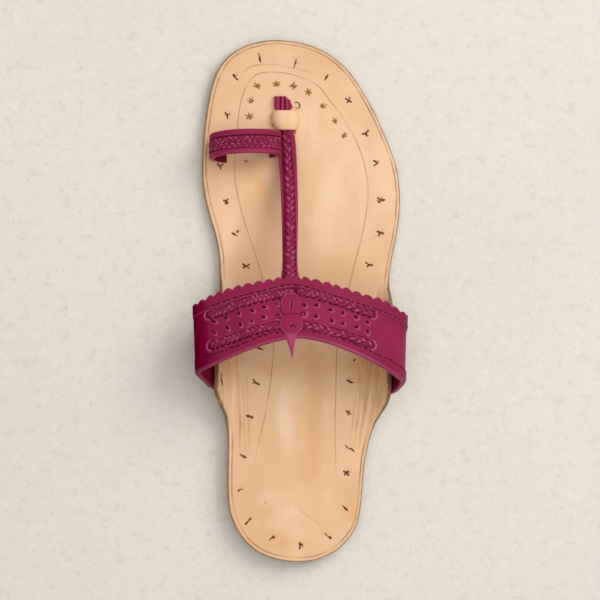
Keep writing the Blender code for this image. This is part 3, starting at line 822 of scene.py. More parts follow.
def floor_stone():
    s = Shade("floor_stone")
    cloud = s.noise(5.0, 4.0, 0.55)
    speck = s.noise(420.0, 3.0, 0.65)
    grain = s.noise(1100.0, 3.0, 0.6)
    colour = s.mix(s.span(cloud, 0.35, 0.65), (0.825, 0.795, 0.745), (0.855, 0.828, 0.780))
    colour = s.mix(s.span(speck, 0.56, 0.70, 0.0, 0.42), colour, (0.60, 0.545, 0.47))
    colour = s.mix(s.span(s.noise(150.0, 4.0, 0.7), 0.52, 0.68, 0.0, 0.34), colour, (0.66, 0.60, 0.525))
    colour = s.mix(s.span(s.noise(210.0, 3.0, 0.6), 0.54, 0.70, 0.0, 0.45), colour, (0.93, 0.905, 0.865))
    colour = s.mix(s.span(grain, 0.35, 0.65, 0.10, 0.0), colour, (0.66, 0.61, 0.54))
    return s.finish(colour, 0.88, s.bump(s.math("MULTIPLY_ADD", speck, 0.6, s.math("MULTIPLY", grain, 0.4)), 0.0003), specular=0.25)


TAN = tan_leather("tan_leather")
TAN_PLAIN = tan_leather("tan_leather_plain", marks=False, streak=0.0)
TAN_EDGE = sole_edge("tan_edge", (0.19, 0.092, 0.042), (0.45, 0.26, 0.135))
TAN_UNDER = sole_under("insole_underside")
WINE = wine_leather("wine_leather")
# a copy without shine for faces turned towards the inner side: painted shade, taking away their sheen
WINE_SHADED_SIDE = wine_leather("wine_leather_shaded_side", shine=0.0)
WINE_CUT = wine_leather("wine_cut_edge", (0.44, 0.075, 0.175), (0.13, 0.006, 0.03))
WINE_LINING = wine_leather("wine_lining", (0.165, 0.005, 0.024), (0.07, 0.002, 0.012), gloss=-0.2)
WINE_BRAID = wine_leather("wine_braid", (0.30, 0.020, 0.080), (0.085, 0.003, 0.018))
WINE_THREAD = thread("wine_thread", (0.075, 0.003, 0.016))
BROWN_THREAD = thread("brown_thread", (0.165, 0.072, 0.024))
LIGHT_THREAD = thread("toe_thread", (0.36, 0.165, 0.045))
SOLE_EDGE = sole_edge("sole_edge", layers=True)
SOLE_UNDER = sole_under("sole_underside")

mesh = bpy.data.meshes.new("floor")
mesh.from_pydata([(-2, -2, 0), (2, -2, 0), (2, 2, 0), (-2, 2, 0)], [], [(0, 1, 2, 3)])
floor = bpy.data.objects.new("floor", mesh)
scene.collection.objects.link(floor)
mesh.materials.append(floor_stone())


# ---- insole, outsole and heel lift ------------------------------------------------------------------
def edge_of(along, side, ears=True):
    inner, outer = a_edges(along)
    edge = inner if side < 0 else outer
    if not ears:
        return edge
    flare = np.interp(along, EVEN, EAR[:, 0 if side < 0 else 1])
    rise = np.interp(along, EVEN, EAR[:, 2])
    fold = edge - side * np.minimum(EAR_FOLD, 0.2 * (outer - inner))
    wide = np.abs(edge - fold) + flare
    lean = rise * EAR_CURVE / np.maximum(wide, 1e-6)
    return fold + side * (wide - INSOLE_T * lean / np.sqrt(1 + lean * lean))


def outline(count, ears, last=SOLE_LENGTH):
    """Closed outline, evenly spaced, from the heel end up the outer side and back down the inner one."""
    t = np.linspace(0, float(a_turn(np.array(last))), 1500)
    along = SOLE_LENGTH / 2 * (1 - np.cos(t))
    far = np.stack([edge_of(along, 1, ears), along + HEEL_END], axis=1)
    near = np.stack([edge_of(along, -1, ears), along + HEEL_END], axis=1)[::-1]
    ring = np.vstack([far, near[1:]])
    l = lengths_of(ring)
    want = np.linspace(0, l[-1], count, endpoint=False)
    return np.stack([np.interp(want, l, ring[:, c]) for c in (0, 1)], axis=1)


def outward(ring):
    d = np.roll(ring, -2, axis=0) - np.roll(ring, 2, axis=0)
    n = np.stack([d[:, 1], -d[:, 0]], axis=1)
    return n / np.linalg.norm(n, axis=1)[:, None]


def spine_of(ring, back, front):
    y = np.clip(ring[:, 1], HEEL_END + back, HEEL_END + front)
    inner, outer = a_edges(y - HEEL_END)
    return np.stack([(inner + outer) / 2, y], axis=1)


# Marks on the insole, charted: the threads of its underside stitching, come through to the top.
MARKS = (
    ((350.3, 77.0), (-2.3, -2.6, 2.2, 2.8), 1.25), ((342.2, 114.7), (-2.6, -2.6, 0.2, 0.2, 2.8, -1.0), 1.0), ((342.2, 115.4), (0.2, 0.2, 0.4, 3.4), 1.0),
    ((374.5, 57.9), (-1.6, -4.4, -0.2, -3.6, 0.2, 0.0, 0.9, 3.6, 2.0, 4.2), 1.0), ((410.0, 63.5), (1.4, -4.4, 0.5, -1.0, -0.6, 2.0, -1.0, 4.6), 0.75),
    ((441.5, 77.0), (2.0, -3.2, -1.8, 3.0), 1.1), ((463.7, 99.5), (-3.0, -1.6, 3.0, 2.0), 0.95), ((463.7, 99.5), (1.6, -2.8, -1.2, 2.8), 0.85),
    ((480.9, 132.4), (-3.4, 1.0, 0.2, 0.0, 3.0, -2.6), 1.0), ((480.9, 132.4), (0.2, 0.0, 1.6, 3.2), 0.95),
    ((492.3, 162.4), (-3.6, -2.4, 0.6, 0.0, -2.8, 2.8), 1.0), ((497.0, 199.4), (-3.8, -2.0, 0.0, 0.2, 3.2, 0.0), 1.05), ((497.0, 199.4), (0.0, 0.2, -3.0, 2.6), 0.95),
    ((496.4, 232.7), (-4.0, -1.8, 0.0, 0.0, 3.0, 0.3), 1.05), ((496.4, 232.7), (0.0, 0.0, -2.6, 3.0), 0.9),
    ((484.9, 264.5), (-3.8, -2.2, 0.0, 0.2, 3.4, 0.4), 1.05), ((484.9, 264.5), (0.0, 0.2, -2.8, 2.4), 0.9),
    ((361.0, 266.0), (-3.6, -2.4, 0.0, 0.0, 3.6, -2.0), 1.05), ((361.0, 266.0), (-3.2, 2.2, 0.0, 0.0, 3.4, 2.4), 0.95),
    ((349.6, 234.2), (-2.8, -1.6, 2.4, 1.8), 1.15), ((352.4, 231.8), (0.0, -0.5, 0.6, 0.5), 1.0),
    ((341.1, 201.2), (-2.4, -1.0, 1.8, 1.4, -0.8, 2.4), 1.25), ((341.1, 201.2), (2.0, -2.2, -0.6, 0.4), 1.0),
    ((335.1, 166.0), (-2.6, -2.4, 0.0, 0.4, 2.8, -1.8), 1.0), ((335.1, 166.0), (0.0, 0.4, 0.6, 3.2), 1.0), ((361.6, 161.6), (-0.4, -0.4, 0.5, 0.5), 0.8),
    ((375.0, 348.5), (-2.8, -1.2, 2.8, 1.2), 1.25), ((371.2, 382.7), (-3.0, -3.4, 0.0, 0.0, 3.4, 2.2), 1.15), ((371.2, 382.7), (0.0, 0.0, -3.4, 0.6), 0.75),
    ((336.6, 379.4), (-0.4, -6.6, -0.2, 0.0, 0.8, 4.6, 0.2, 6.2), 0.85),
    ((465.2, 381.5), (-3.4, -1.6, 0.4, 0.6, 3.6, 1.4), 1.1), ((469.6, 360.3), (-0.5, -0.3, 0.5, 0.5), 0.8),
    ((364.6, 416.4), (-3.4, -1.0, 3.2, 1.0), 1.45), ((463.8, 413.0), (-2.6, -1.4, 2.6, 1.6), 0.7), ((463.8, 413.0), (1.0, -2.6, -0.8, 2.4), 0.6),
    ((358.2, 456.1), (-3.0, -1.6, 3.2, 1.6), 1.2), ((465.3, 448.9), (-4.6, -3.4, -2.0, -0.6, 1.4, 0.2, 4.4, 3.4), 0.8),
    ((355.1, 489.9), (-2.4, 1.2, 2.4, -1.2), 0.75), ((461.5, 473.4), (-2.6, -1.8, 1.2, 0.4, 2.4, 2.4), 1.15), ((461.5, 473.4), (2.0, -2.0, -1.6, 2.0), 0.95),
    ((363.1, 521.1), (-2.6, 3.2, 2.8, -3.0), 1.1), ((460.7, 508.6), (-2.8, -2.6, 2.6, 3.0), 1.1),
    ((387.2, 538.4), (-2.6, 1.8, -0.4, -0.4, 2.6, -0.9), 1.0), ((388.6, 536.6), (-0.7, -0.9, 0.8, 0.6), 0.8),
    ((415.1, 546.1), (-0.9, -3.4, 0.3, -0.4, -0.5, 3.3), 1.05), ((416.9, 545.0), (-0.5, -0.7, 0.5, 0.5), 0.9),
    ((443.4, 536.4), (-3.4, -2.8, 0.0, 0.6, 3.0, 3.0, 1.6, 0.2), 0.85), ((380.4, 502.5), (-0.4, -0.2, 0.4, 0.4), 0.75),
)
TOE_KNOTS = ((372.1, 85.7), (391.5, 83.8), (408.6, 85.7), (423.5, 91.8), (438.3, 105.6), (450.0, 120.4), (459.4, 135.0), (366.0, 100.5), (364.5, 116.4))
LINE_A = (
    (368.6, 474.0), (371.4, 452.0), (376.0, 432.0), (380.0, 415.0), (383.4, 396.0), (386.5, 372.0), (388.3, 343.8), (384.0, 310.0), (375.8, 273.4), (368.4, 249.3), (361.0, 227.1),
    (355.5, 208.6), (350.9, 186.4), (349.6, 168.0), (350.9, 149.5), (352.7, 123.6), (355.5, 103.2), (361.0, 86.6), (370.3, 75.5), (383.0, 72.3),
    (403.6, 73.6), (420.2, 79.2), (433.2, 85.7), (444.3, 99.5), (457.2, 116.2), (470.1, 138.4), (477.5, 156.9), (482.2, 177.2),
    (483.1, 197.5), (480.3, 219.7), (475.7, 241.9), (470.1, 262.3), (464.6, 284.5), (456.0, 318.0), (452.1, 347.7), (450.8, 400.0), (450.0, 426.0), (451.5, 487.0),
)
LINE_B = ((355.5, 75.5), (364.7, 67.2), (379.5, 64.4), (399.9, 66.2), (420.2, 70.9), (436.9, 75.5))


def plan(points, per=8):
    flat = np.array([on_insole(u, v)[:2] for u, v in points])
    return catmull(flat, per)


# Soft patches of warmer, darker (+) or paler (-) colour: middle, half sizes, lean in degrees, amount (chart steps).
# Some are the leather's own mottling; those beside the toe strap and toe loop, in front of the band and under it are
# painted shade.
TONE_AND_SHADE_PATCHES = (
    (380.0, 196.0, 13.0, 38.0, 26, 0.50), (427.0, 196.0, 9.0, 42.0, -6, 0.42), (448.0, 192.0, 14.0, 34.0, -8, -0.50), (429.0, 424.0, 9.0, 56.0, 0, 0.80),
    (401.0, 420.0, 9.0, 46.0, 2, -0.75), (384.0, 537.0, 24.0, 11.0, 0, 0.60), (468.0, 508.0, 11.0, 32.0, 0, 0.45), (414.0, 470.0, 24.0, 32.0, 0, 0.40),
    (381.0, 500.0, 12.0, 9.0, 20, -0.42), (357.0, 420.0, 8.0, 30.0, 0, 0.22), (485.0, 424.0, 8.0, 27.0, 0, 0.65), (415.0, 360.0, 80.0, 24.0, 0, 0.60),
    (365.0, 262.0, 32.0, 22.0, 0, 0.45), (458.0, 266.0, 32.0, 20.0, 0, 0.40), (356.0, 166.0, 24.0, 11.0, 0, 0.45), (372.0, 452.0, 14.0, 26.0, 0, -0.30),
    (338.0, 360.0, 14.0, 14.0, 0, 0.30), (478.0, 372.0, 18.0, 20.0, 0, 0.60), (346.0, 222.0, 10.0, 30.0, -12, -0.30), (489.0, 190.0, 12.0, 40.0, 0, 0.25), (440.0, 62.0, 40.0, 12.0, 18, 0.25),
    (405.0, 548.0, 40.0, 9.0, 0, 0.35), (440.0, 500.0, 9.0, 26.0, 0, -0.25),
)


def on_ear(along):
    return np.clip((along - 58) / 9, 0, 1) * np.clip((143 - along) / 9, 0, 1)


def insole_tone_and_shade(x, y):
    """Where the leather is warmer or paler, from the table: its own mottling, and painted shade beside the toe strap
    and toe loop and in front of and under the band.
    """
    tone = 0.10 * grains(x, y, 71, 12.0, 3)
    for u, v, wide, high, lean, amount in TONE_AND_SHADE_PATCHES:
        a, b, _ = on_insole(u, v)
        c, s = math.cos(math.radians(lean)), math.sin(math.radians(lean))
        dx, dy = x - a, y - b
        q = ((dx * c + dy * s) / (wide * 0.476)) ** 2 + ((dy * c - dx * s) / (high * 0.476)) ** 2
        tone = tone + 1.2 * amount * np.exp(-(q**1.1)) * (0.88 + 0.32 * grains(x, y, 72, 9.0, 2))
    return tone


def insole_fold(x, y):
    """Where the ears bend: fine parallel lines."""
    along = np.clip(y - HEEL_END, 0, SOLE_LENGTH)
    inner, outer = a_edges(along)
    fold = np.zeros(x.shape)
    for side, edge, low, high in ((-1, inner, -6.0, -0.8), (1, outer, -4.5, 2.5)):
        q = side * (x - (edge - side * EAR_FOLD))
        reach = np.clip((along - 57) / 12, 0, 1) * np.clip((128 - along) / 22, 0, 1)
        fold = np.maximum(fold, reach * smooth_a(low - 1.5, low + 1.0, q) * smooth_a(high + 2.0, high - 0.5, q))
        fold = np.maximum(fold, 0.40 * np.clip((along - 66) / 10, 0, 1) * np.clip((136 - along) / 12, 0, 1) * smooth_a(low, low + 4.0, q))
    return fold


def insole_relief(x, y, rim):
    """Extra height of the insole's worked surface, millimetres."""
    along = np.clip(y - HEEL_END, 0, SOLE_LENGTH)
    z = 0.14 * grains(x, y, 5, 26.0, 2) + 0.03 * grains(x, y, 9, 6.0, 2)
    r = np.clip(1 - rim / 0.9, 0, 1)
    plain = 1 - 0.9 * on_ear(along)
    z = z - 0.8 * (0.35 + 0.65 * plain) * (1 - np.sqrt(1 - r * r))
    z = z + plain * (0.05 * np.exp(-(((rim - 1.15) / 0.4) ** 2)) - 0.24 * np.exp(-(((rim - 1.9) / 0.34) ** 2)))
    z = z - 0.22 * (1 - plain) * np.exp(-((rim / 0.9) ** 2)) * (1 + grains(x, y, 51, 1.6, 2))
    inner, outer = a_edges(along)
    held = np.clip((along - 50) / 20, 0, 1) * np.clip((136 - along) / 16, 0, 1)
    held = held * held * (3 - 2 * held)
    for side, edge in ((-1, inner), (1, outer)):
        q = side * (x - (edge - side * EAR_FOLD))
        sway = 0.9 * grains(along, 0 * along + side * 7.0, 21, 22.0, 2)
        ends = 0.55 + 0.45 * grains(along, 0 * along + side * 3.0, 33, 13.0, 1)
        for place, high, wide in ((-0.2, -0.55, 0.8), (1.3, 0.34, 0.8), (-1.4, 0.28, 0.6), (-2.6, -0.42, 0.6), (-3.7, 0.22, 0.5), (-4.7, -0.30, 0.55), (-5.8, 0.18, 0.5),
                                  (3.4, -0.30, 0.7), (5.2, 0.20, 0.8), (6.9, -0.26, 0.7), (-7.0, 0.12, 1.4)):
            wave = grains(along, 0 * along + place * 2.3, 44, 19.0, 2)
            z = z + held * high * (0.75 + 0.6 * wave) * (ends if abs(place) > 3 else 1.0) * np.exp(-(((q - place - sway * 0.7 - 0.5 * wave) / wide) ** 2))
    return z


def insole_grime_and_shade(x, y, rim):
    along = np.clip(y - HEEL_END, 0, SOLE_LENGTH)
    inner, outer = a_edges(along)
    soil = 0.04 + 0.05 * np.clip(grains(x, y, 61, 17.0, 3), 0, 1)
    held = np.clip((along - 68) / 12, 0, 1) * np.clip((135 - along) / 12, 0, 1)
    folded = np.clip((along - 50) / 20, 0, 1) * np.clip((131 - along) / 14, 0, 1)
    # partly grime, partly painted shade: the outer ear darker as it faces away from the light
    for side, edge, base in ((-1, inner, 0.0), (1, outer, 0.18)):
        q = side * (x - (edge - side * EAR_FOLD))
        streak = grains(x * 3.0, y * 0.35, 70 + side, 5.0, 3)
        soil = soil + held * np.clip((q + 5.0) / 7.0, 0, 1) * (base + 0.20 * np.clip(streak, -0.6, 1))
        sway = 0.9 * grains(along, 0 * along + side * 7.0, 21, 22.0, 2)
        # dark lines in the fold creases: painted shade
        for place, deep in ((-0.2, 0.42), (0.9, 0.16), (-2.6, 0.30), (-1.5, 0.14), (3.4, 0.34), (5.0, 0.20), (6.9, 0.32), (-4.6, 0.20)):
            wave = grains(along, 0 * along + place * 2.3, 44, 19.0, 2)
            broken = smooth_a(-0.35, 0.25, grains(along, 0 * along + place * 9.0 + side, 91, 9.0, 2))
            soil = soil + folded * deep * broken * np.exp(-(((q - place - sway * 0.7 - 0.5 * wave) / 0.36) ** 2))
    return np.clip(soil, 0, 1)


def build_insole():
    count = 900
    ring = outline(count, True)
    n = outward(ring)
    steps = [0.0, 0.1, 0.25, 0.45, 0.7, 0.95, 1.2, 1.45, 1.65, 1.85, 2.05, 2.3, 2.6, 3.1, 3.6, 4.1, 4.6, 5.1, 5.6, 6.1, 6.6, 7.1, 7.5, 8.0]
    rings = [ring - n * d for d in steps]
    rims = [np.full(count, d) for d in steps]
    last = rings[-1]
    target = spine_of(last, 30.0, SOLE_LENGTH - 30.0)
    for k in range(1, 47):
        s = (k / 46) ** 1.3
        rings.append(last + (target - last) * s)
        rims.append(8.0 + np.linalg.norm(rings[-1] - last, axis=1))
    x = np.array([r[:, 0] for r in rings])
    y = np.array([r[:, 1] for r in rings])
    rim = np.array(rims)
    z = top_of(x, y)
    e = 0.05
    nx = -(top_of(x + e, y) - top_of(x - e, y)) / (2 * e)
    ny = -(top_of(x, y + e) - top_of(x, y - e)) / (2 * e)
    nz = np.ones_like(nx)
    size = np.sqrt(nx * nx + ny * ny + 1)
    normal = np.stack([nx / size, ny / size, nz / size], axis=-1)
    base = np.stack([x, y, z], axis=-1)
    lift = insole_relief(x, y, rim)
    # dents where the threads pull in
    for (u, v), *_ in MARKS:
        a, b, _ = on_insole(u, v)
        lift = lift - 0.16 * np.exp(-(((x - a) ** 2 + (y - b) ** 2) / 2.6))
    for u, v in TOE_KNOTS:
        a, b, _ = on_insole(u, v)
        lift = lift - 0.14 * np.exp(-(((x - a) ** 2 + (y - b) ** 2) / 2.2))
    crease, _, where = near_line(x, y, plan(((400.0, 499.0), (410.0, 506.0), (421.0, 517.0), (430.0, 523.0), (439.0, 537.0)), 6))
    lift = lift - 0.22 * np.exp(-((crease / 0.8) ** 2)) * np.clip(4 * where * (1 - where), 0, 1)
    scratch, _, _ = near_line(x, y, plan(((478.0, 243.0), (484.0, 239.4), (493.0, 236.2)), 4))
    lift = lift - 0.16 * np.exp(-((scratch / 0.55) ** 2))
    top = base + normal * lift[..., None]
    total, cols = top.shape[0], count
    d, sign, where = near_line(x, y, plan(LINE_A, 6))
    line_a = d * sign
    on_a = np.clip(where / 0.05, 0, 1) * np.clip((1 - where) / 0.05, 0, 1) * np.clip(4 - d, 0, 1)
    d, sign, where = near_line(x, y, plan(LINE_B, 6))
    line_b, on_b = d * sign, np.clip(where / 0.1, 0, 1) * np.clip((1 - where) / 0.1, 0, 1) * np.clip(4 - d, 0, 1)
    soil = insole_grime_and_shade(x, y, rim)
    # darker along the heel crease, as painted shade, and along the scratch
    soil = np.clip(soil + 0.5 * np.exp(-((crease / 0.4) ** 2)) * 0.3 + 0.5 * np.exp(-((scratch / 0.3) ** 2)), 0, 1)
    h = Heap()
    h.add(top, grid_faces(total, cols, wrap=True), 0, rim=rim, line_a=line_a, line_a_on=on_a, line_b=line_b, line_b_on=on_b, soil=soil,
          tone=insole_tone_and_shade(x, y), fold=insole_fold(x, y), rim_on=1 - 0.92 * on_ear(np.clip(y - HEEL_END, 0, SOLE_LENGTH)))
    # cut edge and underside
    out = np.concatenate([n, np.zeros((count, 1))], axis=1)
    low = [top[0]]
    for k in range(1, 8):
        s = k / 7
        swell = 0.16 * math.sin(math.pi * s) - 0.35 * max(0.0, s - 0.75) * 4
        low.append(base[0] - normal[0] * INSOLE_T * s + out * swell + (top[0] - base[0]) * (1 - s))
    h.add(np.array(low), grid_faces(8, cols, wrap=True, flip=True), 1)
    keep = [3, 6, 12, 17, 23, 30, 38, 52, total - 1]
    under = [low[-1]] + [base[k] - normal[k] * INSOLE_T for k in keep]
    h.add(np.array(under), grid_faces(len(under), cols, wrap=True, flip=True), 2)
    h.make("insole_leather", [TAN, TAN_EDGE, TAN_UNDER], smooth_angle=50, slot="insole", stands_for=("insole",))


build_insole()


def build_threads():
    random.seed(4)
    dark, light = Heap(), Heap()

    def lay(heap, u, v, offsets, radius):
        pts = [on_insole(u + offsets[i], v + offsets[i + 1]) for i in range(0, len(offsets), 2)]
        p = resample(catmull(pts, 6), 0.5) if len(pts) > 2 else resample(np.array(pts), 0.5)
        s = np.linspace(0, 1, len(p))
        p[:, 2] = top_of(p[:, 0], p[:, 1]) + 0.12 * np.sin(np.pi * s) - 0.05
        r = radius * 0.5 * (0.55 + 0.45 * np.sin(np.pi * (0.12 + 0.76 * s))) * (1 + 0.34 * np.sin(s * 7 + u * 1.7 + v))
        tube(heap, p, r, sides=7, flat=0.72)
        if heap is dark and random.random() < 0.6:
            # a knot along it and a loose fibre
            at = p[int(len(p) * random.uniform(0.2, 0.8))]
            a = random.uniform(0, 2 * math.pi)
            q = np.array([at - [0.45 * math.cos(a), 0.45 * math.sin(a), 0], at + [0.45 * math.cos(a), 0.45 * math.sin(a), 0.06]])
            tube(heap, resample(q, 0.3), radius * random.uniform(0.40, 0.58), sides=8, flat=0.6)
            a = random.uniform(0, 2 * math.pi)
            b = a + random.uniform(-0.7, 0.7)
            q = np.array([at, at + [0.9 * math.cos(a), 0.9 * math.sin(a), 0.0], at + [0.9 * math.cos(a) + 0.8 * math.cos(b), 0.9 * math.sin(a) + 0.8 * math.sin(b), 0.0]])
            q = resample(catmull(q, 4), 0.3)
            q[:, 2] = top_of(q[:, 0], q[:, 1]) + 0.06
            tube(heap, q, 0.10, sides=5)

    for (u, v), offsets, width in MARKS:
        lay(dark, u, v, offsets, width * 0.82)
    for k, (u, v) in enumerate(TOE_KNOTS):
        for j in range(3):
            a = math.pi * (j / 3 + 0.14 * k) + random.uniform(-0.15, 0.15)
            r = random.uniform(2.7, 3.9)
            lay(light, u, v, (-r * math.cos(a), -r * math.sin(a), r * math.cos(a), r * math.sin(a)), random.uniform(0.58, 0.76))
    dark.make("insole_threads", [BROWN_THREAD], slot="insole")
    light.make("toe_threads", [LIGHT_THREAD], slot="insole")


build_threads()


def build_outsole():
    count = 720
    ring = outline(count, False)
    n = outward(ring)
    h = Heap()
    profile = [  # inset, height over the underside, joint
        (1.6, OUTSOLE_T, 0), (0.3, OUTSOLE_T, 0), (0.08, OUTSOLE_T - 0.1, 0), (0.0, OUTSOLE_T - 0.35, 0), (0.0, 2.05, 0), (0.06, 1.92, 1),
        (0.22, 1.8, 1), (0.06, 1.68, 1), (0.0, 1.55, 0), (0.0, 0.9, 0), (0.1, 0.5, 0), (0.28, 0.25, 0), (0.55, 0.08, 0), (0.95, 0.0, 0),
    ]
    rows = []
    for inset, high, joint in profile:
        p = ring - n * inset
        rows.append(np.stack([p[:, 0], p[:, 1], ground_of(p[:, 1]) + high], axis=1))
    h.add(np.array(rows), grid_faces(len(rows), count, wrap=True, flip=True), 0, joint=np.repeat([p[2] for p in profile], count))
    rows, joints = [rows[-1]], [0]
    for inset, deep, joint in ((2.4, 0, 0), (3.3, 0, 0), (3.45, 0.22, 1), (3.7, 0.42, 1), (3.95, 0.22, 1), (4.1, 0, 0), (5.5, 0, 0), (8.0, 0, 0)):
        p = ring - n * inset
        rows.append(np.stack([p[:, 0], p[:, 1], ground_of(p[:, 1]) + deep], axis=1))
        joints.append(joint)
    p8 = ring - n * 8.0
    target = spine_of(p8, 30.0, SOLE_LENGTH - 30.0)
    for k in range(1, 15):
        p = p8 + (target - p8) * (k / 14)
        rows.append(np.stack([p[:, 0], p[:, 1], ground_of(p[:, 1]) + 0.05 * (1 + grains(p[:, 0], p[:, 1], 3, 14.0, 2)) * min(1, k / 3)], axis=1))
        joints.append(0)
    h.add(np.array(rows), grid_faces(len(rows), count, wrap=True, flip=True), 1, joint=np.repeat(joints, count))
    rows = []
    for k in range(0, 9):
        p = ring - n * 1.6 if k == 0 else (ring - n * 1.6) + (target - (ring - n * 1.6)) * (k / 8)
        rows.append(np.stack([p[:, 0], p[:, 1], ground_of(p[:, 1]) + OUTSOLE_T], axis=1))
    h.add(np.array(rows), grid_faces(len(rows), count, wrap=True), 1)
    h.make("outsole_leather", [SOLE_EDGE, SOLE_UNDER], smooth_angle=50, slot="sole", stands_for=("outsole",))


def ground_of(y):
    return np.interp(np.clip(y - HEEL_END, 0, SOLE_LENGTH), EVEN, GROUND)


GROUND = np.array([ground(a) for a in EVEN])
build_outsole()


def build_heel():
    t = np.linspace(0, float(a_turn(np.array(HEEL_BREAST))), 260)
    along = SOLE_LENGTH / 2 * (1 - np.cos(t))
    inner, outer = a_edges(along)
    back = np.clip(1 - along / HEEL_ROUND, 0, 1)
    inset = np.minimum(HEEL_INSET * np.sqrt(1 - back * back), 0.25 * (outer - inner))
    y = along + HEEL_END + HEEL_INSET * back
    far = np.stack([outer - inset, y], axis=1)
    near = np.stack([inner + inset, y], axis=1)[::-1]
    s = np.linspace(1, 0, 60)
    x0, x1 = near[0, 0], far[-1, 0]
    breast = np.stack([x0 + (x1 - x0) * s, HEEL_END + HEEL_BREAST - BREAST_HOLLOW * 4 * s * (1 - s)], axis=1)
    ring = np.vstack([far, breast[1:-1], near[:-1]])
    ring = resample(np.vstack([ring, ring[:1]]), 0.7)[:-1]
    n = outward(ring)
    count = len(ring)
    h = Heap()
    profile = [(0.5, HEEL_LIFT, 0), (0.0, HEEL_LIFT - 0.1, 0), (0.0, 2.72, 0), (0.08, 2.6, 1), (0.24, 2.5, 1), (0.08, 2.4, 1),
               (0.0, 2.28, 0), (0.0, 0.7, 0), (0.12, 0.32, 0), (0.35, 0.08, 0), (0.7, 0.0, 0)]
    rows = [np.concatenate([ring - n * i, np.full((count, 1), z)], axis=1) for i, z, _ in profile]
    h.add(np.array(rows), grid_faces(len(rows), count, wrap=True, flip=True), 0, joint=np.repeat([p[2] for p in profile], count))
    centre = np.array([(x0 + x1) / 2 - 0.5, HEEL_END + 33.0])
    for level, inset, flip in ((0.0, 0.7, True), (HEEL_LIFT, 0.5, False)):
        base = ring - n * inset
        rows = [np.concatenate([base + (centre - base) * (k / 10), np.full((count, 1), level)], axis=1) for k in range(11)]
        h.add(np.array(rows), grid_faces(11, count, wrap=True, flip=flip), 1)
    # wooden peg heads underneath
    for k in range(3, count - 3, max(1, count // 26)):
        p = ring[k] - n[k] * 6.0
        if p[1] > HEEL_END + HEEL_BREAST - 9:
            continue
        a = np.linspace(0, 2 * math.pi, 10, endpoint=False)
        disc = np.stack([p[0] + 0.75 * np.cos(a), p[1] + 0.75 * np.sin(a), np.full(10, 0.0)], axis=1)
        low = disc.copy(); low[:, 2] = 0.25
        h.add(np.vstack([disc, low]), [[i, (i + 1) % 10, 10 + (i + 1) % 10, 10 + i] for i in range(10)] + [list(range(10))[::-1]], 0)
    h.make("heel_leather", [SOLE_EDGE, SOLE_UNDER], smooth_angle=50, slot="heel", stands_for=("heel_lift",))


build_heel()


# ---- instep band --------------------------------------------------------------------------------------
FINE = 24
FRONT_LINE = catmull(band_path("front"), FINE)
REAR_LINE = catmull(band_path("rear"), FINE)
PLACES = np.arange(len(FRONT_LINE)) / FINE
MIDDLE = (FRONT_LINE + REAR_LINE) / 2
ARC = lengths_of(MIDDLE)
WIDTHS = np.linalg.norm(REAR_LINE - FRONT_LINE, axis=1)


def lerp_rows(table, i):
    return np.stack([np.interp(i, PLACES, table[:, c]) for c in range(table.shape[1])], axis=-1)


FRONT_T = np.gradient(FRONT_LINE, axis=0)
REAR_T = np.gradient(REAR_LINE, axis=0)


def band_frame(i, share):
    """Point of the band's inner face, and its directions along, back and outwards, for arrays."""
    i, share = np.broadcast_arrays(np.asarray(i, float), np.asarray(share, float))
    f, r = lerp_rows(FRONT_LINE, i), lerp_rows(REAR_LINE, i)
    tf, tr = lerp_rows(FRONT_T, i), lerp_rows(REAR_T, i)
    s = share[..., None]
    p = f + (r - f) * s
    # its sides stand a little nearer the inner side than the plain shell's
    p[..., 0] += -0.85 * smooth_a(4.0, 8.5, i) * smooth_a(17.0, 12.0, i) - 0.85 * smooth_a(33.5, 39.0, i) * smooth_a(50.0, 44.0, i)
    t = tf + (tr - tf) * s
    t = t / np.linalg.norm(t, axis=-1, keepdims=True)
    b = r - f
    b = b / np.linalg.norm(b, axis=-1, keepdims=True)
    n = np.cross(b, t)
    n = n / np.linalg.norm(n, axis=-1, keepdims=True)
    return p, t, b, n


def band_at(i, share, lift):
    p, _, _, n = band_frame(i, share)
    return p + n * np.asarray(lift, float)[..., None]


GRID_I, GRID_S = np.meshgrid(np.linspace(8, 42, 1200), np.linspace(-0.12, 1.3, 190), indexing="ij")
GRID_P, _, _, GRID_N = band_frame(GRID_I, GRID_S)
GRID_P = GRID_P + GRID_N * BAND_T
GRID_U = 300 + (GRID_P[..., 0] + 57.9) * 2224.5 / (1108 - GRID_P[..., 2])
GRID_V = 300 - GRID_P[..., 1] * 2224.5 / (1108 - GRID_P[..., 2])
GRID_OUT = GRID_N[..., 2] < 0.02


def on_band(u, v):
    """Charted point on the band's outer face: its place along the band and its share of the width."""
    d = (GRID_U - u) ** 2 + (GRID_V - v) ** 2 + GRID_OUT * 1e6
    a, b = np.unravel_index(np.argmin(d), d.shape)
    a, b = min(max(a, 1), d.shape[0] - 2), min(max(b, 1), d.shape[1] - 2)
    j = np.array([[GRID_U[a + 1, b] - GRID_U[a - 1, b], GRID_U[a, b + 1] - GRID_U[a, b - 1]],
                  [GRID_V[a + 1, b] - GRID_V[a - 1, b], GRID_V[a, b + 1] - GRID_V[a, b - 1]]]) / 2
    step = np.linalg.solve(j, [u - GRID_U[a, b], v - GRID_V[a, b]])
    step = np.clip(step, -1.5, 1.5)
    return (GRID_I[a, b] + step[0] * (GRID_I[1, 0] - GRID_I[0, 0]), GRID_S[a, b] + step[1] * (GRID_S[0, 1] - GRID_S[0, 0]))


def band_curve(points, per=8):
    """Smooth curve through charted points, as (place, share) rows."""
    return catmull([on_band(u, v) for u, v in points], per)


def as_share(points):
    """Share of the width as a function of the place, along a charted line."""
    c = band_curve(points)
    order = np.argsort(c[:, 0])
    return c[order, 0], c[order, 1]


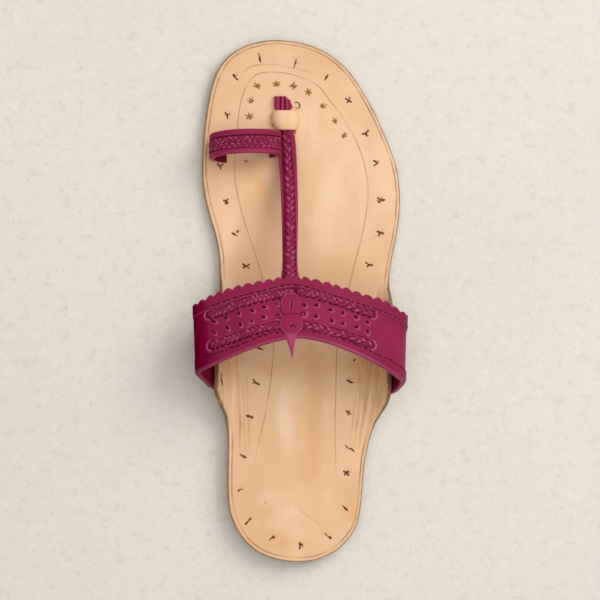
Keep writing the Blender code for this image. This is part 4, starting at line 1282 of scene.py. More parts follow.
PEAKS = (
    (316.6, 299.9), (324.9, 295.3), (333.6, 291.7), (342.3, 288.4), (352.7, 285.3), (362.2, 283.1), (373.4, 280.9), (383.4, 279.0), (392.9, 277.3),
    (403.0, 276.3), (411.6, 276.2), (420.2, 276.6), (431.4, 279.2), (443.0, 281.8), (451.7, 284.6), (462.0, 287.6), (472.3, 291.3), (483.1, 294.7),
    (493.8, 297.5), (502.5, 301.2), (511.1, 306.8), (519.2, 311.9),
)
FRONT_SEAM = ((317.4, 311.9), (334.0, 304.4), (349.0, 299.4), (363.0, 295.3), (376.3, 292.0), (394.6, 287.4), (406.2, 285.8), (415.5, 286.5),
              (428.4, 290.0), (449.0, 296.6), (470.5, 303.6), (492.1, 310.6), (503.3, 314.9), (513.6, 320.1), (523.0, 328.2))
REAR_SEAM = ((316.0, 357.0), (321.6, 354.6), (338.2, 350.0), (361.4, 341.2), (371.3, 337.0), (383.8, 333.0), (393.7, 331.0), (406.0, 330.4), (418.9, 330.2), (434.4, 331.6),
             (443.0, 334.2), (456.0, 338.2), (473.2, 344.6), (486.1, 350.2), (493.0, 353.7), (506.8, 359.7), (517.1, 366.6), (522.2, 373.0))
FRONT_BRAIDS = (
    ((323.6, 315.0), (337.0, 310.6), (350.6, 305.0), (363.0, 300.6), (378.6, 296.8), (394.6, 293.4), (408.0, 291.6)),
    ((412.6, 290.9), (418.4, 291.8), (436.2, 296.2), (453.6, 301.6), (470.8, 307.4), (480.0, 310.9), (488.6, 314.2)),
)
REAR_BRAIDS = (
    ((325.6, 345.8), (337.4, 341.4), (350.6, 337.0), (373.6, 329.0), (393.0, 324.8), (398.5, 324.0)),
    ((416.5, 324.2), (422.0, 324.9), (432.6, 327.2), (443.0, 330.6), (458.6, 334.0), (473.2, 339.0), (487.4, 345.2)),
)
HOLES = (
    (328.2, 321.4), (340.7, 317.7), (353.1, 313.1), (366.8, 310.6), (378.8, 306.9), (391.7, 304.0), (419.4, 305.0), (431.4, 305.0),
    (445.6, 309.8), (458.1, 312.8), (471.5, 317.1), (483.1, 322.3), (329.0, 332.2), (341.9, 327.6), (354.8, 324.3), (365.9, 320.6),
    (378.0, 316.9), (392.9, 316.0), (418.1, 313.6), (431.0, 316.2), (446.9, 320.5), (458.1, 323.5), (471.9, 327.0), (483.3, 331.7),
)
MAIN_T, FRONT_T_MM, REAR_T_MM = 2.25, 2.95, 2.75

PEAK_ROWS = [on_band(u, v) for u, v in PEAKS]
PEAK_ARC = np.array([np.interp(i, PLACES, ARC) for i, _ in PEAK_ROWS])
PEAK_SHARE = np.array([s for _, s in PEAK_ROWS])
lo, hi = list(PEAK_ARC), []
while lo[0] > 3:
    lo.insert(0, lo[0] - 5.1)
while lo[-1] < ARC[-1] - 3:
    lo.append(lo[-1] + 5.1)
ALL_PEAKS = np.array(lo)


def front_share(i):
    """Share at the band's scalloped front edge."""
    arc = np.interp(i, PLACES, ARC)
    base = np.interp(arc, PEAK_ARC, PEAK_SHARE)
    k = np.clip(np.searchsorted((ALL_PEAKS[1:] + ALL_PEAKS[:-1]) / 2, arc), 0, len(ALL_PEAKS) - 1)
    left = np.where(k > 0, (ALL_PEAKS[k] - ALL_PEAKS[np.maximum(k - 1, 0)]) / 2, 2.55)
    right = np.where(k < len(ALL_PEAKS) - 1, (ALL_PEAKS[np.minimum(k + 1, len(ALL_PEAKS) - 1)] - ALL_PEAKS[k]) / 2, 2.55)
    d = arc - ALL_PEAKS[k]
    x = np.clip(np.abs(d) / np.where(d < 0, left, right), 0, 1)
    drop = 1.6 * x**1.9
    return base + drop / np.interp(i, PLACES, WIDTHS)


def even_places(step, a=0.0, b=1e9):
    n = int(round((min(b, ARC[-1]) - a) / step)) + 1
    return np.interp(np.linspace(a, min(b, ARC[-1]), n), ARC, PLACES)


def shell(heap, places, share_a, share_b, top, low, step=0.34, soft=0.5, extra=None, mats=(0, 1, 2), under_rows=12, swell=0.0):
    """A layer of leather on the band: between two shares, from low to top above the inner face, soft-edged."""
    width = np.interp(places, PLACES, WIDTHS)
    across = (share_b - share_a) * width
    near = [0.0, 0.05, 0.15, 0.3, 0.5, 0.75]
    n = max(3, int(round((across.max() - 1.5) / step)))
    d = [np.full(len(places), v) for v in near]
    d += [0.75 + (across - 1.5) * k / n for k in range(1, n)]
    d += [across - v for v in near[::-1]]
    d = np.array(d).T
    share = share_a[:, None] + d / width[:, None]
    i = np.repeat(places[:, None], d.shape[1], axis=1)
    edge = np.minimum(d, across[:, None] - d)
    r = np.clip(1 - edge / soft, 0, 1)
    high = top - soft * 0.9 * (1 - np.sqrt(1 - r * r))
    p, t, b, nrm = band_frame(i, share)
    values = {"hollow": np.zeros(i.shape), "rubbed": np.zeros(i.shape)}
    if extra:
        more, vals = extra(p + nrm * top, t, b, i, share, d, across)
        high = high + more
        values.update(vals)
    # fuller where it turns down; its colour is darkened down the inner side, and a little on the outer side, as painted
    # shade
    high = high + side_swell(i, nrm, swell)
    values["side"] = smooth_a(0.46, 0.82, -nrm[..., 0])
    values["hollow"] = np.clip(values["hollow"] + 0.75 * smooth_a(0.72, 1.0, -nrm[..., 0]) + 0.12 * smooth_a(0.2, 0.9, nrm[..., 0]), 0, 1.17)
    outer = p + nrm * high[..., None]
    m = under_rows
    s_low = share_b[:, None] + (share_a - share_b)[:, None] * np.linspace(0, 1, m)[None, :]
    i_low = np.repeat(places[:, None], m, axis=1)
    pl, _, _, nl = band_frame(i_low, s_low)
    inner = pl + nl * low
    ring = np.concatenate([outer, inner], axis=1)
    cols = ring.shape[1]
    base = heap.n
    vals = {k: np.concatenate([v, np.zeros((len(places), m))], axis=1) for k, v in values.items()}
    faces = grid_faces(len(places), cols, wrap=True)
    which = np.tile(np.concatenate([np.full(outer.shape[1] - 1, mats[0]), [mats[1]], np.full(m - 1, mats[2]), [mats[1]]]), len(places) - 1).reshape(len(places) - 1, cols)
    turned = (-nrm[..., 0]).mean(axis=1)
    # faces turned well towards the inner side take the shineless copy, as painted shade
    which[np.where(turned[:-1] > 0.66)[0], : outer.shape[1] - 1] = 3
    which = which.ravel()
    heap.add(ring.reshape(-1, 3), faces.tolist(), 0, **vals)
    heap.m[-len(faces):] = which.astype(int).tolist()
    first = [base + c for c in range(cols)]
    last = [base + (len(places) - 1) * cols + c for c in range(cols)]
    heap.f += [first[::-1], last]
    heap.m += [mats[1], mats[1]]


def side_swell(i, n, swell):
    return swell * smooth_a(0.40, 0.92, -n[..., 0]) * smooth_a(6.0, 9.0, i)


def distance_3d(p, line):
    """Distance of every point to a line in space, and its place along that line."""
    best = np.full(p.shape[:-1], 1e9)
    where = np.zeros(p.shape[:-1])
    l = lengths_of(line)
    for k in range(len(line) - 1):
        d = line[k + 1] - line[k]
        s = np.clip(((p - line[k]) @ d) / (d @ d), 0, 1)
        q = np.linalg.norm(p - line[k] - s[..., None] * d, axis=-1)
        where = np.where(q < best, l[k] + s * math.sqrt(d @ d), where)
        best = np.minimum(best, q)
    return best, where


BRAID_LINES = []
for pts in FRONT_BRAIDS + REAR_BRAIDS:
    c = band_curve(pts, 6)
    BRAID_LINES.append(c)
HOLE_ROWS = [on_band(u, v) for u, v in HOLES]


def main_relief(p, t, b, i, share, d, across):
    z = 0.05 * grains(np.interp(i, PLACES, ARC), share * 30, 12, 9.0, 2)
    hollow = np.zeros(i.shape)
    rubbed = np.zeros(i.shape)
    for k, c in enumerate(BRAID_LINES):
        line = band_at(c[:, 0], c[:, 1], np.full(len(c), MAIN_T))
        q, _w = distance_3d(p, line)
        q = q + 0.10 * grains(np.interp(i, PLACES, ARC), share * 30, 31, 2.2, 1)
        # painted shade in each braid's channel, and a painted highlight along its rim, strongest at the outer ends
        z = z - 0.50 * (1 - smooth_a(1.75, 2.10, q)) + 0.16 * np.exp(-(((q - 2.4) / 0.34) ** 2))
        hollow = np.maximum(hollow, 0.8 * (1 - smooth_a(1.70, 2.15, q)))
        ends = smooth_a(0.8, 0.0, _w if k in (0, 2) else lengths_of(line)[-1] - _w)
        rubbed = np.maximum(rubbed, (0.26 + 0.75 * ends) * np.exp(-(((q - 2.35) / 0.28) ** 2)) * np.maximum(ends, smooth_a(-0.2, 0.5, grains(p[..., 0], p[..., 1], 5, 3.0, 2))))
    # punched holes: painted shade in each pit, a painted highlight on the lip's lit side, and bright painted highlight
    # spots in three of them
    gen = random.Random(8)
    for k, (a, s) in enumerate(HOLE_ROWS):
        c = band_at(np.array(a), np.array(s), np.array(MAIN_T))
        delta = p - c
        x, y = (delta * t).sum(-1), (delta * b).sum(-1)
        turn = gen.uniform(0.3, 1.2) * (1 if s < 2 else -1)
        long, wide = gen.uniform(0.92, 1.2), gen.uniform(0.52, 0.70)
        if k in (17, 18):
            long, wide = 1.35, 0.95
        cx, sx = math.cos(turn), math.sin(turn)
        q = np.hypot((x * cx + y * sx) / long, (-x * sx + y * cx) / wide)
        far = np.linalg.norm(delta, axis=-1) > 6
        pit = np.where(far, 0, 1 - smooth_a(0.68, 1.12, q))
        lip = np.where(far, 0, np.exp(-(((q - 1.62) / 0.42) ** 2)))
        z = z - 1.25 * pit + (0.16 + 0.16 * np.clip((x + y) / 2, -1, 1)) * lip
        hollow = np.maximum(hollow, pit * 1.1)
        rubbed = np.maximum(rubbed, 0.75 * lip * np.clip(0.15 + (x + y) / 1.3, 0, 1))
        if k in (5, 17, 18):
            rubbed = np.maximum(rubbed, np.where(far, 0, 1.25 * np.exp(-(((x - 0.25) / 0.45) ** 2) - ((y + 0.1) / 0.4) ** 2)))
            hollow = hollow * (1 - np.where(far, 0, np.exp(-(((x - 0.25) / 0.45) ** 2) - ((y + 0.1) / 0.4) ** 2)))
    # a raised crease with a painted highlight along it
    c = band_curve(((366.0, 318.5), (363.2, 325.0), (361.0, 333.0)), 4)
    q, _ = distance_3d(p, band_at(c[:, 0], c[:, 1], np.full(len(c), MAIN_T)))
    z = z + 0.16 * np.exp(-((q / 0.4) ** 2))
    rubbed = np.maximum(rubbed, 0.45 * np.exp(-((q / 0.3) ** 2)))
    return z, {"hollow": hollow, "rubbed": rubbed}


def strip_relief(p, t, b, i, share, d, across):
    z = 0.045 * grains(np.interp(i, PLACES, ARC), share * 30, 19, 7.0, 2)
    # painted highlight along both edges of the front strip
    highlight = 0.30 * np.exp(-(((across[:, None] - d - 0.25) / 0.3) ** 2)) + 0.16 * np.exp(-(((d - 0.35) / 0.35) ** 2))
    return z, {"rubbed": highlight}


def rear_relief(p, t, b, i, share, d, across):
    arc = np.interp(i, PLACES, ARC)
    z = 0.05 * grains(arc, share * 30, 27, 8.0, 2)
    # painted highlight along the rear edge, stronger near the crown
    highlight = 0.72 * np.exp(-(((across[:, None] - d - 0.35) / 0.45) ** 2)) * (0.55 + 0.45 * smooth_a(0.0, 14.0, arc - np.interp(26.5, PLACES, ARC)) * smooth_a(40.0, 20.0, arc - np.interp(26.5, PLACES, ARC)))
    highlight = highlight + 0.14 * np.exp(-(((d - 0.3) / 0.3) ** 2))
    # painted shade: the rear strip darker all over, and more towards its outer end
    return z, {"rubbed": highlight, "hollow": 0.10 + 0.10 * smooth_a(28.0, 36.0, i)}


def build_band():
    h = Heap()
    places = even_places(0.36)
    width = np.interp(places, PLACES, WIDTHS)
    fi, fs = as_share(FRONT_SEAM)
    ri, rs = as_share(REAR_SEAM)
    seam_f = np.interp(places, fi, fs)
    seam_r = np.interp(places, ri, rs)
    shell(h, places, front_share(places) + 0.5 / width, np.full(len(places), 0.985), MAIN_T, 0.0, step=0.36, extra=main_relief, mats=(0, 1, 2), under_rows=14, swell=0.42)
    h.make("band_panel", [WINE, WINE_CUT, WINE_LINING, WINE_SHADED_SIDE], smooth_angle=60, slot="upper", stands_for=("upper",))
    h = Heap()
    places = even_places(0.27)
    width = np.interp(places, PLACES, WIDTHS)
    shell(h, places, front_share(places), np.interp(places, fi, fs) + 0.55 / width, FRONT_T_MM, 2.0, step=0.6, soft=0.42, extra=strip_relief, under_rows=3, swell=0.06)
    h.make("band_front_strip", [WINE, WINE_CUT, WINE_LINING, WINE_SHADED_SIDE], smooth_angle=60, slot="upper")
    h = Heap()
    places = even_places(0.6)
    width = np.interp(places, PLACES, WIDTHS)
    shell(h, places, np.interp(places, ri, rs) - 0.3 / width, np.full(len(places), 1.0), REAR_T_MM, 0.35, step=0.5, soft=0.75, extra=rear_relief, under_rows=3, swell=0.06)
    h.make("band_rear_strip", [WINE, WINE_CUT, WINE_LINING, WINE_SHADED_SIDE], smooth_angle=60, slot="upper")


build_band()


def plait(heap, line, ups, half, strand, pitch, lift, squash=0.62, height=0.32, start=0.0, end=0.0, material=0, strands=3, wobble=0.0):
    """Flat plait of three strands along a line; pitch is the distance from one chevron to the next."""
    p = resample(np.hstack([line, ups]), 0.22)
    ups = p[:, 3:] / np.linalg.norm(p[:, 3:], axis=1)[:, None]
    line = p[:, :3]
    t = np.gradient(line, axis=0)
    t /= np.linalg.norm(t, axis=1)[:, None]
    side = np.cross(t, ups)
    side /= np.linalg.norm(side, axis=1)[:, None]
    l = lengths_of(line)
    pitch = pitch if callable(pitch) else (lambda s, v=pitch: v + 0 * s)
    phase = np.concatenate([[0.0], np.cumsum(np.diff(l) / (3 * pitch((l[1:] + l[:-1]) / 2)))]) * 2 * math.pi
    amp = half - strand / 2
    closing = np.clip(np.minimum(l, l[-1] - l) / 1.6, 0.25, 1)
    for k in range(strands):
        a = phase + 2 * math.pi * k / 3
        x = amp * closing * np.sin(a) * (1 + wobble * np.sin(a * 0.37 + k)) + wobble * 1.6 * grains(l, 0 * l + k, 80 + k, 1.9, 1) * amp
        z = height * np.sin(2 * a) * -1.0
        c = line + side * x[:, None] + ups * (lift + z)[:, None]
        raised = np.clip(z / height, -1, 1)
        # painted highlight in flecks on the upper side of raised strands, and painted shade where a strand dips under
        # the others
        fleck = np.clip(0.40 + 2.2 * grains(l * 1.0, 0 * l + 5.0 * k + phase[-1], 50 + k, 0.9, 2), 0, 1)
        highlight = (0.70 * smooth_a(0.15, 1.0, raised) * fleck)[::2]
        strand_shade = (0.25 + 0.45 * smooth_a(0.1, -0.9, raised))[::2]
        top = np.clip(np.sin(np.linspace(0, 2 * math.pi, 8, endpoint=False)) - 0.35, 0, 1) * 1.5
        strand_highlight = np.concatenate([highlight[:1]] * 3 + [highlight] + [highlight[-1:]] * 3)[:, None] * top[None, :]
        deep = np.concatenate([strand_shade[:1]] * 3 + [strand_shade] + [strand_shade[-1:]] * 3)[:, None] * np.ones(8)[None, :]
        tube(heap, c[::2], strand / 2, sides=8, flat=squash, ups=ups[::2], material=material, hollow=deep, rubbed=strand_highlight)


def dashes(heap, line, ups, length=2.15, gap=0.75, radius=0.42, sink=0.02, jitter=0.28, seed=1, skip=()):
    gen = random.Random(seed)
    p = resample(np.hstack([line, ups]), 0.2)
    l = lengths_of(p[:, :3])
    s = 0.3
    while s < l[-1] - length:
        n = max(3, int(length / 0.45))
        w = np.linspace(s, s + length * (1 + gen.uniform(-jitter, jitter)), n)
        q = np.stack([np.interp(w, l, p[:, c]) for c in range(6)], axis=1)
        u = q[:, 3:] / np.linalg.norm(q[:, 3:], axis=1)[:, None]
        e = np.linspace(-1, 1, n)
        slant = np.cross(np.gradient(q[:, :3], axis=0), u)
        slant /= np.linalg.norm(slant, axis=1)[:, None]
        pts = q[:, :3] + u * (0.12 - sink - 0.22 * e**2)[:, None] + slant * (e * gen.uniform(-0.16, 0.24) + gen.uniform(-0.1, 0.1))[:, None]
        tube(heap, pts, radius * gen.uniform(0.8, 1.12), sides=6, flat=0.7, ups=u)
        s += length + gap * (1 + gen.uniform(-jitter, jitter))


def band_line(curve, lift, shift=0.0, swell=0.0):
    """Charted curve as points in space and outward directions; shift moves it back across the band, mm."""
    share = curve[:, 1] + shift / np.interp(curve[:, 0], PLACES, WIDTHS)
    p, _, _, n = band_frame(curve[:, 0], share)
    return p + n * (lift + side_swell(curve[:, 0], n, swell))[:, None], n


def build_band_trim():
    h = Heap()
    for k, c in enumerate(BRAID_LINES):
        line, n = band_line(c, MAIN_T)
        l = lengths_of(line)[-1]
        if k == 0:
            pitch = lambda s: 2.05 + 0 * s
        elif k == 1:
            pitch = lambda s, l=l: 2.6 + 1.5 * np.clip(s / l * 2.2 - 0.7, 0, 1)
        elif k == 2:
            pitch = lambda s: 2.35 + 0 * s
        else:
            pitch = lambda s: 3.6 + 0 * s
        plait(h, line, n, 1.95, 1.42, pitch, -0.06, squash=0.42, height=0.22, wobble=0.12)
    h.make("band_plaits", [WINE_BRAID], smooth_angle=70, slot="upper")
    h = Heap()
    seam = band_curve(FRONT_SEAM)
    first, last = seam[0], seam[-1]
    seam = np.vstack([[(9.0, first[1]), (10.5, first[1])], seam[2:-2], [(39.5, last[1]), (41.0, last[1])]]) if first[0] > 11 and last[0] < 39 else seam
    line, n = band_line(seam, FRONT_T_MM - 0.12, -0.35, swell=0.06)
    dashes(h, line, n, seed=3)
    seam = band_curve(REAR_SEAM)
    line, n = band_line(seam, REAR_T_MM - 0.14, 0.55, swell=0.06)
    dashes(h, line, n, seed=5)
    for k, c in enumerate(BRAID_LINES):
        line, n = band_line(c, MAIN_T + 0.05, 2.45)
        dashes(h, line, n, length=2.3, gap=0.6, radius=0.33, seed=11 + k)
    h.make("band_stitches", [WINE_THREAD], slot="upper")


build_band_trim()


# ---- toe strap, its front end, toe loop, bridge and ornament ---------------------------------------------
def ribbon(heap, centre, lateral, up, left, right, top, low, mats=(0, 1, 2), soft=0.5, cols=None, extra=None, step=0.26, **flags):
    """Strap along centre; left and right are its edges along lateral, top and low its faces along up."""
    centre, lateral, up = (np.asarray(a, float) for a in (centre, lateral, up))
    n = len(centre)
    left, right = np.broadcast_to(left, (n,)).astype(float), np.broadcast_to(right, (n,)).astype(float)
    wide = right - left
    near = [0.0, 0.05, 0.15, 0.3, 0.5]
    m = max(3, int(round((wide.max() - 1.0) / step)))
    d = [np.minimum(v, wide / 2 - 0.01) for v in near]
    inner = np.maximum(wide - 1.0, 0.02)
    d += [0.5 + inner * k / m for k in range(1, m)]
    d += [wide - np.minimum(v, wide / 2 - 0.01) for v in near[::-1]]
    d = np.array(d).T
    q = left[:, None] + d
    edge = np.minimum(d, wide[:, None] - d)
    r = np.clip(1 - edge / soft, 0, 1)
    high = top - soft * 0.9 * (1 - np.sqrt(1 - r * r))
    s = lengths_of(centre)[:, None] * np.ones_like(q)
    values = {"hollow": np.zeros(q.shape), "rubbed": np.zeros(q.shape)}
    if extra:
        more, vals = extra(q, s, edge)
        high = high + more
        values.update(vals)
    outer = centre[:, None] + lateral[:, None] * q[..., None] + up[:, None] * high[..., None]
    k = 6
    ql = right[:, None] + (left - right)[:, None] * np.linspace(0, 1, k)[None, :]
    inner = centre[:, None] + lateral[:, None] * ql[..., None] + up[:, None] * low
    ring = np.concatenate([outer, inner], axis=1)
    c = ring.shape[1]
    base = heap.n
    faces = grid_faces(n, c, wrap=True)
    vals = {key: np.concatenate([v, np.zeros((n, k))], axis=1) for key, v in values.items()}
    which = np.tile(np.concatenate([np.full(outer.shape[1] - 1, mats[0]), [mats[1]], np.full(k - 1, mats[2]), [mats[1]]]), n - 1)
    heap.add(ring, faces.tolist(), 0, **vals)
    heap.m[-len(faces):] = which.astype(int).tolist()
    heap.f += [[base + j for j in range(c)][::-1], [base + (n - 1) * c + j for j in range(c)]]
    heap.m += [mats[1], mats[1]]


def strap_rows(y0, y1, step):
    keys = [-r[0] for r in TOE_STRAP]
    ys = np.linspace(y0, y1, max(2, int(abs(y1 - y0) / step)))
    fine = np.linspace(keys[0], keys[-1], 800)
    table = np.array([[through(keys, [r[c] for r in TOE_STRAP], t) for c in (1, 2, 3)] for t in fine])
    x, z, w = (np.interp(-ys, fine, table[:, c]) for c in range(3))
    p = np.stack([x, ys, z], axis=1)
    t = np.gradient(p, axis=0)
    if t[0, 1] > 0:
        t = -t
    t[:, 0] = 0
    t /= np.linalg.norm(t, axis=1)[:, None]
    up = np.stack([0 * t[:, 0], t[:, 2], -t[:, 1]], axis=1)
    return p, up, w


# The toe strap's details, a row for each place: charted v, groove, plait's middle and half width (all in chart steps).
STRAP_ROWS = (
    (128.0, 396.6, 401.2, 3.4), (140.0, 396.7, 401.9, 3.8), (155.0, 397.6, 403.0, 4.3), (170.0, 398.0, 403.8, 4.6), (185.0, 398.8, 404.7, 4.8), (200.0, 399.4, 405.3, 5.0),
    (225.0, 399.1, 405.3, 5.2), (240.0, 398.7, 405.2, 5.5), (270.0, 398.4, 405.4, 5.9), (285.0, 398.4, 405.4, 5.9),
)


def build_toe_strap():
    p, up, w = strap_rows(92.6, 6.5, 0.34)
    s_of = (1108 - p[:, 2]) / 2224.5
    u = 300 + (p[:, 0] + 57.9) / s_of
    v = 300 - p[:, 1] / s_of
    rows = np.array(STRAP_ROWS)
    groove_q = (np.interp(v, rows[:, 0], rows[:, 1]) - u) * s_of
    mid_q = (np.interp(v, rows[:, 0], rows[:, 2]) - u) * s_of
    half = np.interp(v, rows[:, 0], rows[:, 3]) * s_of
    lateral = np.tile([1.0, 0.0, 0.0], (len(p), 1))

    def relief(q, s, edge):
        g = np.abs(q - groove_q[:, None])
        inside = np.abs(q - mid_q[:, None]) / half[:, None]
        crown = -0.32 * (2 * q / w[:, None]) ** 2
        z = crown - 0.75 * np.exp(-((g / 0.34) ** 2)) - 0.55 * (1 - smooth_a(0.86, 1.04, inside))
        z = z + 0.04 * grains(q * 3, s, 15, 3.0, 2)
        # painted shade in the groove and the plait's channel; painted highlight along the strap's edges and the
        # channel's rim
        hollow = np.maximum(np.exp(-((g / 0.42) ** 2)), 1 - smooth_a(0.9, 1.08, inside))
        highlight = 0.18 * np.exp(-(((edge - 0.35) / 0.3) ** 2)) + 0.2 * np.exp(-(((inside - 1.16) / 0.07) ** 2))
        return z, {"hollow": hollow, "rubbed": highlight}

    h = Heap()
    ribbon(h, p, lateral, up, -w / 2, w / 2, 0.0, -TOE_STRAP_T, extra=relief, soft=0.5)
    line = p + lateral * mid_q[:, None] - up * 0.12
    amp = half
    # a plait in two runs, as its width grows towards the band
    length = lengths_of(line)[-1]
    for a, b in ((0, 90), (86, 178), (174, len(line))):
        b = min(b, len(line))
        if b - a < 10:
            continue
        hw = float(np.mean(amp[a:b]))
        plait(h, line[a:b], up[a:b], hw, hw * 0.80, {0: 4.1, 86: 3.7, 174: 3.2}[a], -0.22, squash=0.50, height=0.34, material=3, wobble=0.06)
    h.make("toe_strap", [WINE, WINE_CUT, WINE_LINING, WINE_BRAID], smooth_angle=60, slot="upper")

    # front end, past the bridge: three ridges and a corner cut off
    h = Heap()
    p, up, w = strap_rows(92.8, 100.6, 0.22)
    w = np.where(p[:, 1] > 94.2, 8.75, w)
    ends = np.clip((p[:, 1] - 94.0) / 0.9, 0, 1)
    w = 6.6 + (8.75 - 6.6) * ends
    p[:, 0] = -9.35
    left = -w / 2
    right = w / 2 - 2.5 * smooth_a(98.0, 100.7, p[:, 1]) - 0.7 * smooth_a(96.2, 97.3, p[:, 1])
    lateral = np.tile([1.0, 0.0, 0.0], (len(p), 1))

    def ridges(q, s, edge):
        z = -0.55 * np.exp(-(((q + 1.5) / 0.36) ** 2)) - 0.55 * np.exp(-(((q - 0.65) / 0.36) ** 2)) + 0.10 * np.exp(-(((q + 2.7) / 0.5) ** 2)) + 0.14 * np.exp(-(((q + 0.4) / 0.5) ** 2)) + 0.12 * np.exp(-(((q - 1.9) / 0.5) ** 2))
        front = smooth_a(lengths_of(p)[-1] - 0.8, lengths_of(p)[-1], s)
        z = z - 0.35 * front**2 - 0.10 * (q / 4) ** 2
        # painted shade in the two grooves, painted highlight on the three ridges
        hollow = np.maximum(np.exp(-(((q + 1.5) / 0.34) ** 2)), np.exp(-(((q - 0.65) / 0.34) ** 2))) * 0.8
        highlight = 0.42 * np.exp(-(((q + 0.35) / 0.4) ** 2)) + 0.30 * np.exp(-(((q + 2.6) / 0.4) ** 2)) + 0.30 * np.exp(-(((q - 1.8) / 0.35) ** 2))
        return z, {"hollow": hollow, "rubbed": highlight}

    ribbon(h, p, lateral, up, left, right, 0.0, -TOE_STRAP_T, extra=ridges, soft=0.55, step=0.2)
    h.make("toe_strap_end", [WINE, WINE_CUT, WINE_LINING], smooth_angle=60, slot="upper")


build_toe_strap()


def build_toe_loop():
    c = resample(catmull(TOE_LOOP, 24), 0.32)
    t = np.gradient(c, axis=0)
    t[:, 1] = 0
    t /= np.linalg.norm(t, axis=1)[:, None]
    up = np.stack([-t[:, 2], 0 * t[:, 0], t[:, 0]], axis=1)
    lateral = np.tile([0.0, 1.0, 0.0], (len(c), 1))
    total = lengths_of(c)[-1]
    half = LOOP_WIDTH / 2
    centres, hw = (1.0, -1.75), 1.62

    def relief(q, s, edge):
        inside = np.minimum(*[np.abs(q - m) / hw for m in centres])
        low = (1 - smooth_a(0.86, 1.06, np.abs(q + 0.40) / 3.25))
        z = -0.5 * low - 0.30 * np.exp(-(((q - 3.0) / 0.2) ** 2)) + 0.03 * grains(q * 3, s, 8, 3.0, 2)
        z = z - 0.18 * np.exp(-(((q + 3.95) / 0.22) ** 2))
        # painted highlight along its edges and borders; painted shade in its lower channel and the stitch groove
        highlight = 0.14 * np.exp(-(((edge - 0.4) / 0.35) ** 2)) + 0.14 * np.exp(-(((q + 4.75) / 0.55) ** 2)) * smooth_a(0.2, 0.45, s / total) * smooth_a(0.95, 0.7, s / total)
        highlight = highlight + 0.12 * np.exp(-(((q - 3.7) / 0.3) ** 2)) * smooth_a(0.2, 0.4, s / total) * smooth_a(0.9, 0.6, s / total)
        return z, {"hollow": np.maximum(low * 0.6, 0.9 * np.exp(-(((q - 3.0) / 0.25) ** 2))), "rubbed": highlight}

    h = Heap()
    ribbon(h, c, lateral, up, -half, half, LOOP_T / 2, -LOOP_T / 2, extra=relief, soft=0.55)
    for k, m in enumerate(centres):
        line = c + lateral * m + up * (LOOP_T / 2 - 0.1)
        plait(h, line[6:-6], up[6:-6], hw, 1.25, 2.75 + 0.1 * k, -0.22, squash=0.6, height=0.30, material=3, wobble=0.05)
    h.make("toe_loop", [WINE, WINE_CUT, WINE_LINING, WINE_BRAID], smooth_angle=60, slot="upper")
    h = Heap()
    line = c + lateral * 3.0 + up * (LOOP_T / 2 - 0.22)
    dashes(h, line[8:-8], up[8:-8], length=1.5, gap=0.6, radius=0.2, seed=31)
    h.make("toe_loop_stitches", [WINE_THREAD], slot="upper")


build_toe_loop()


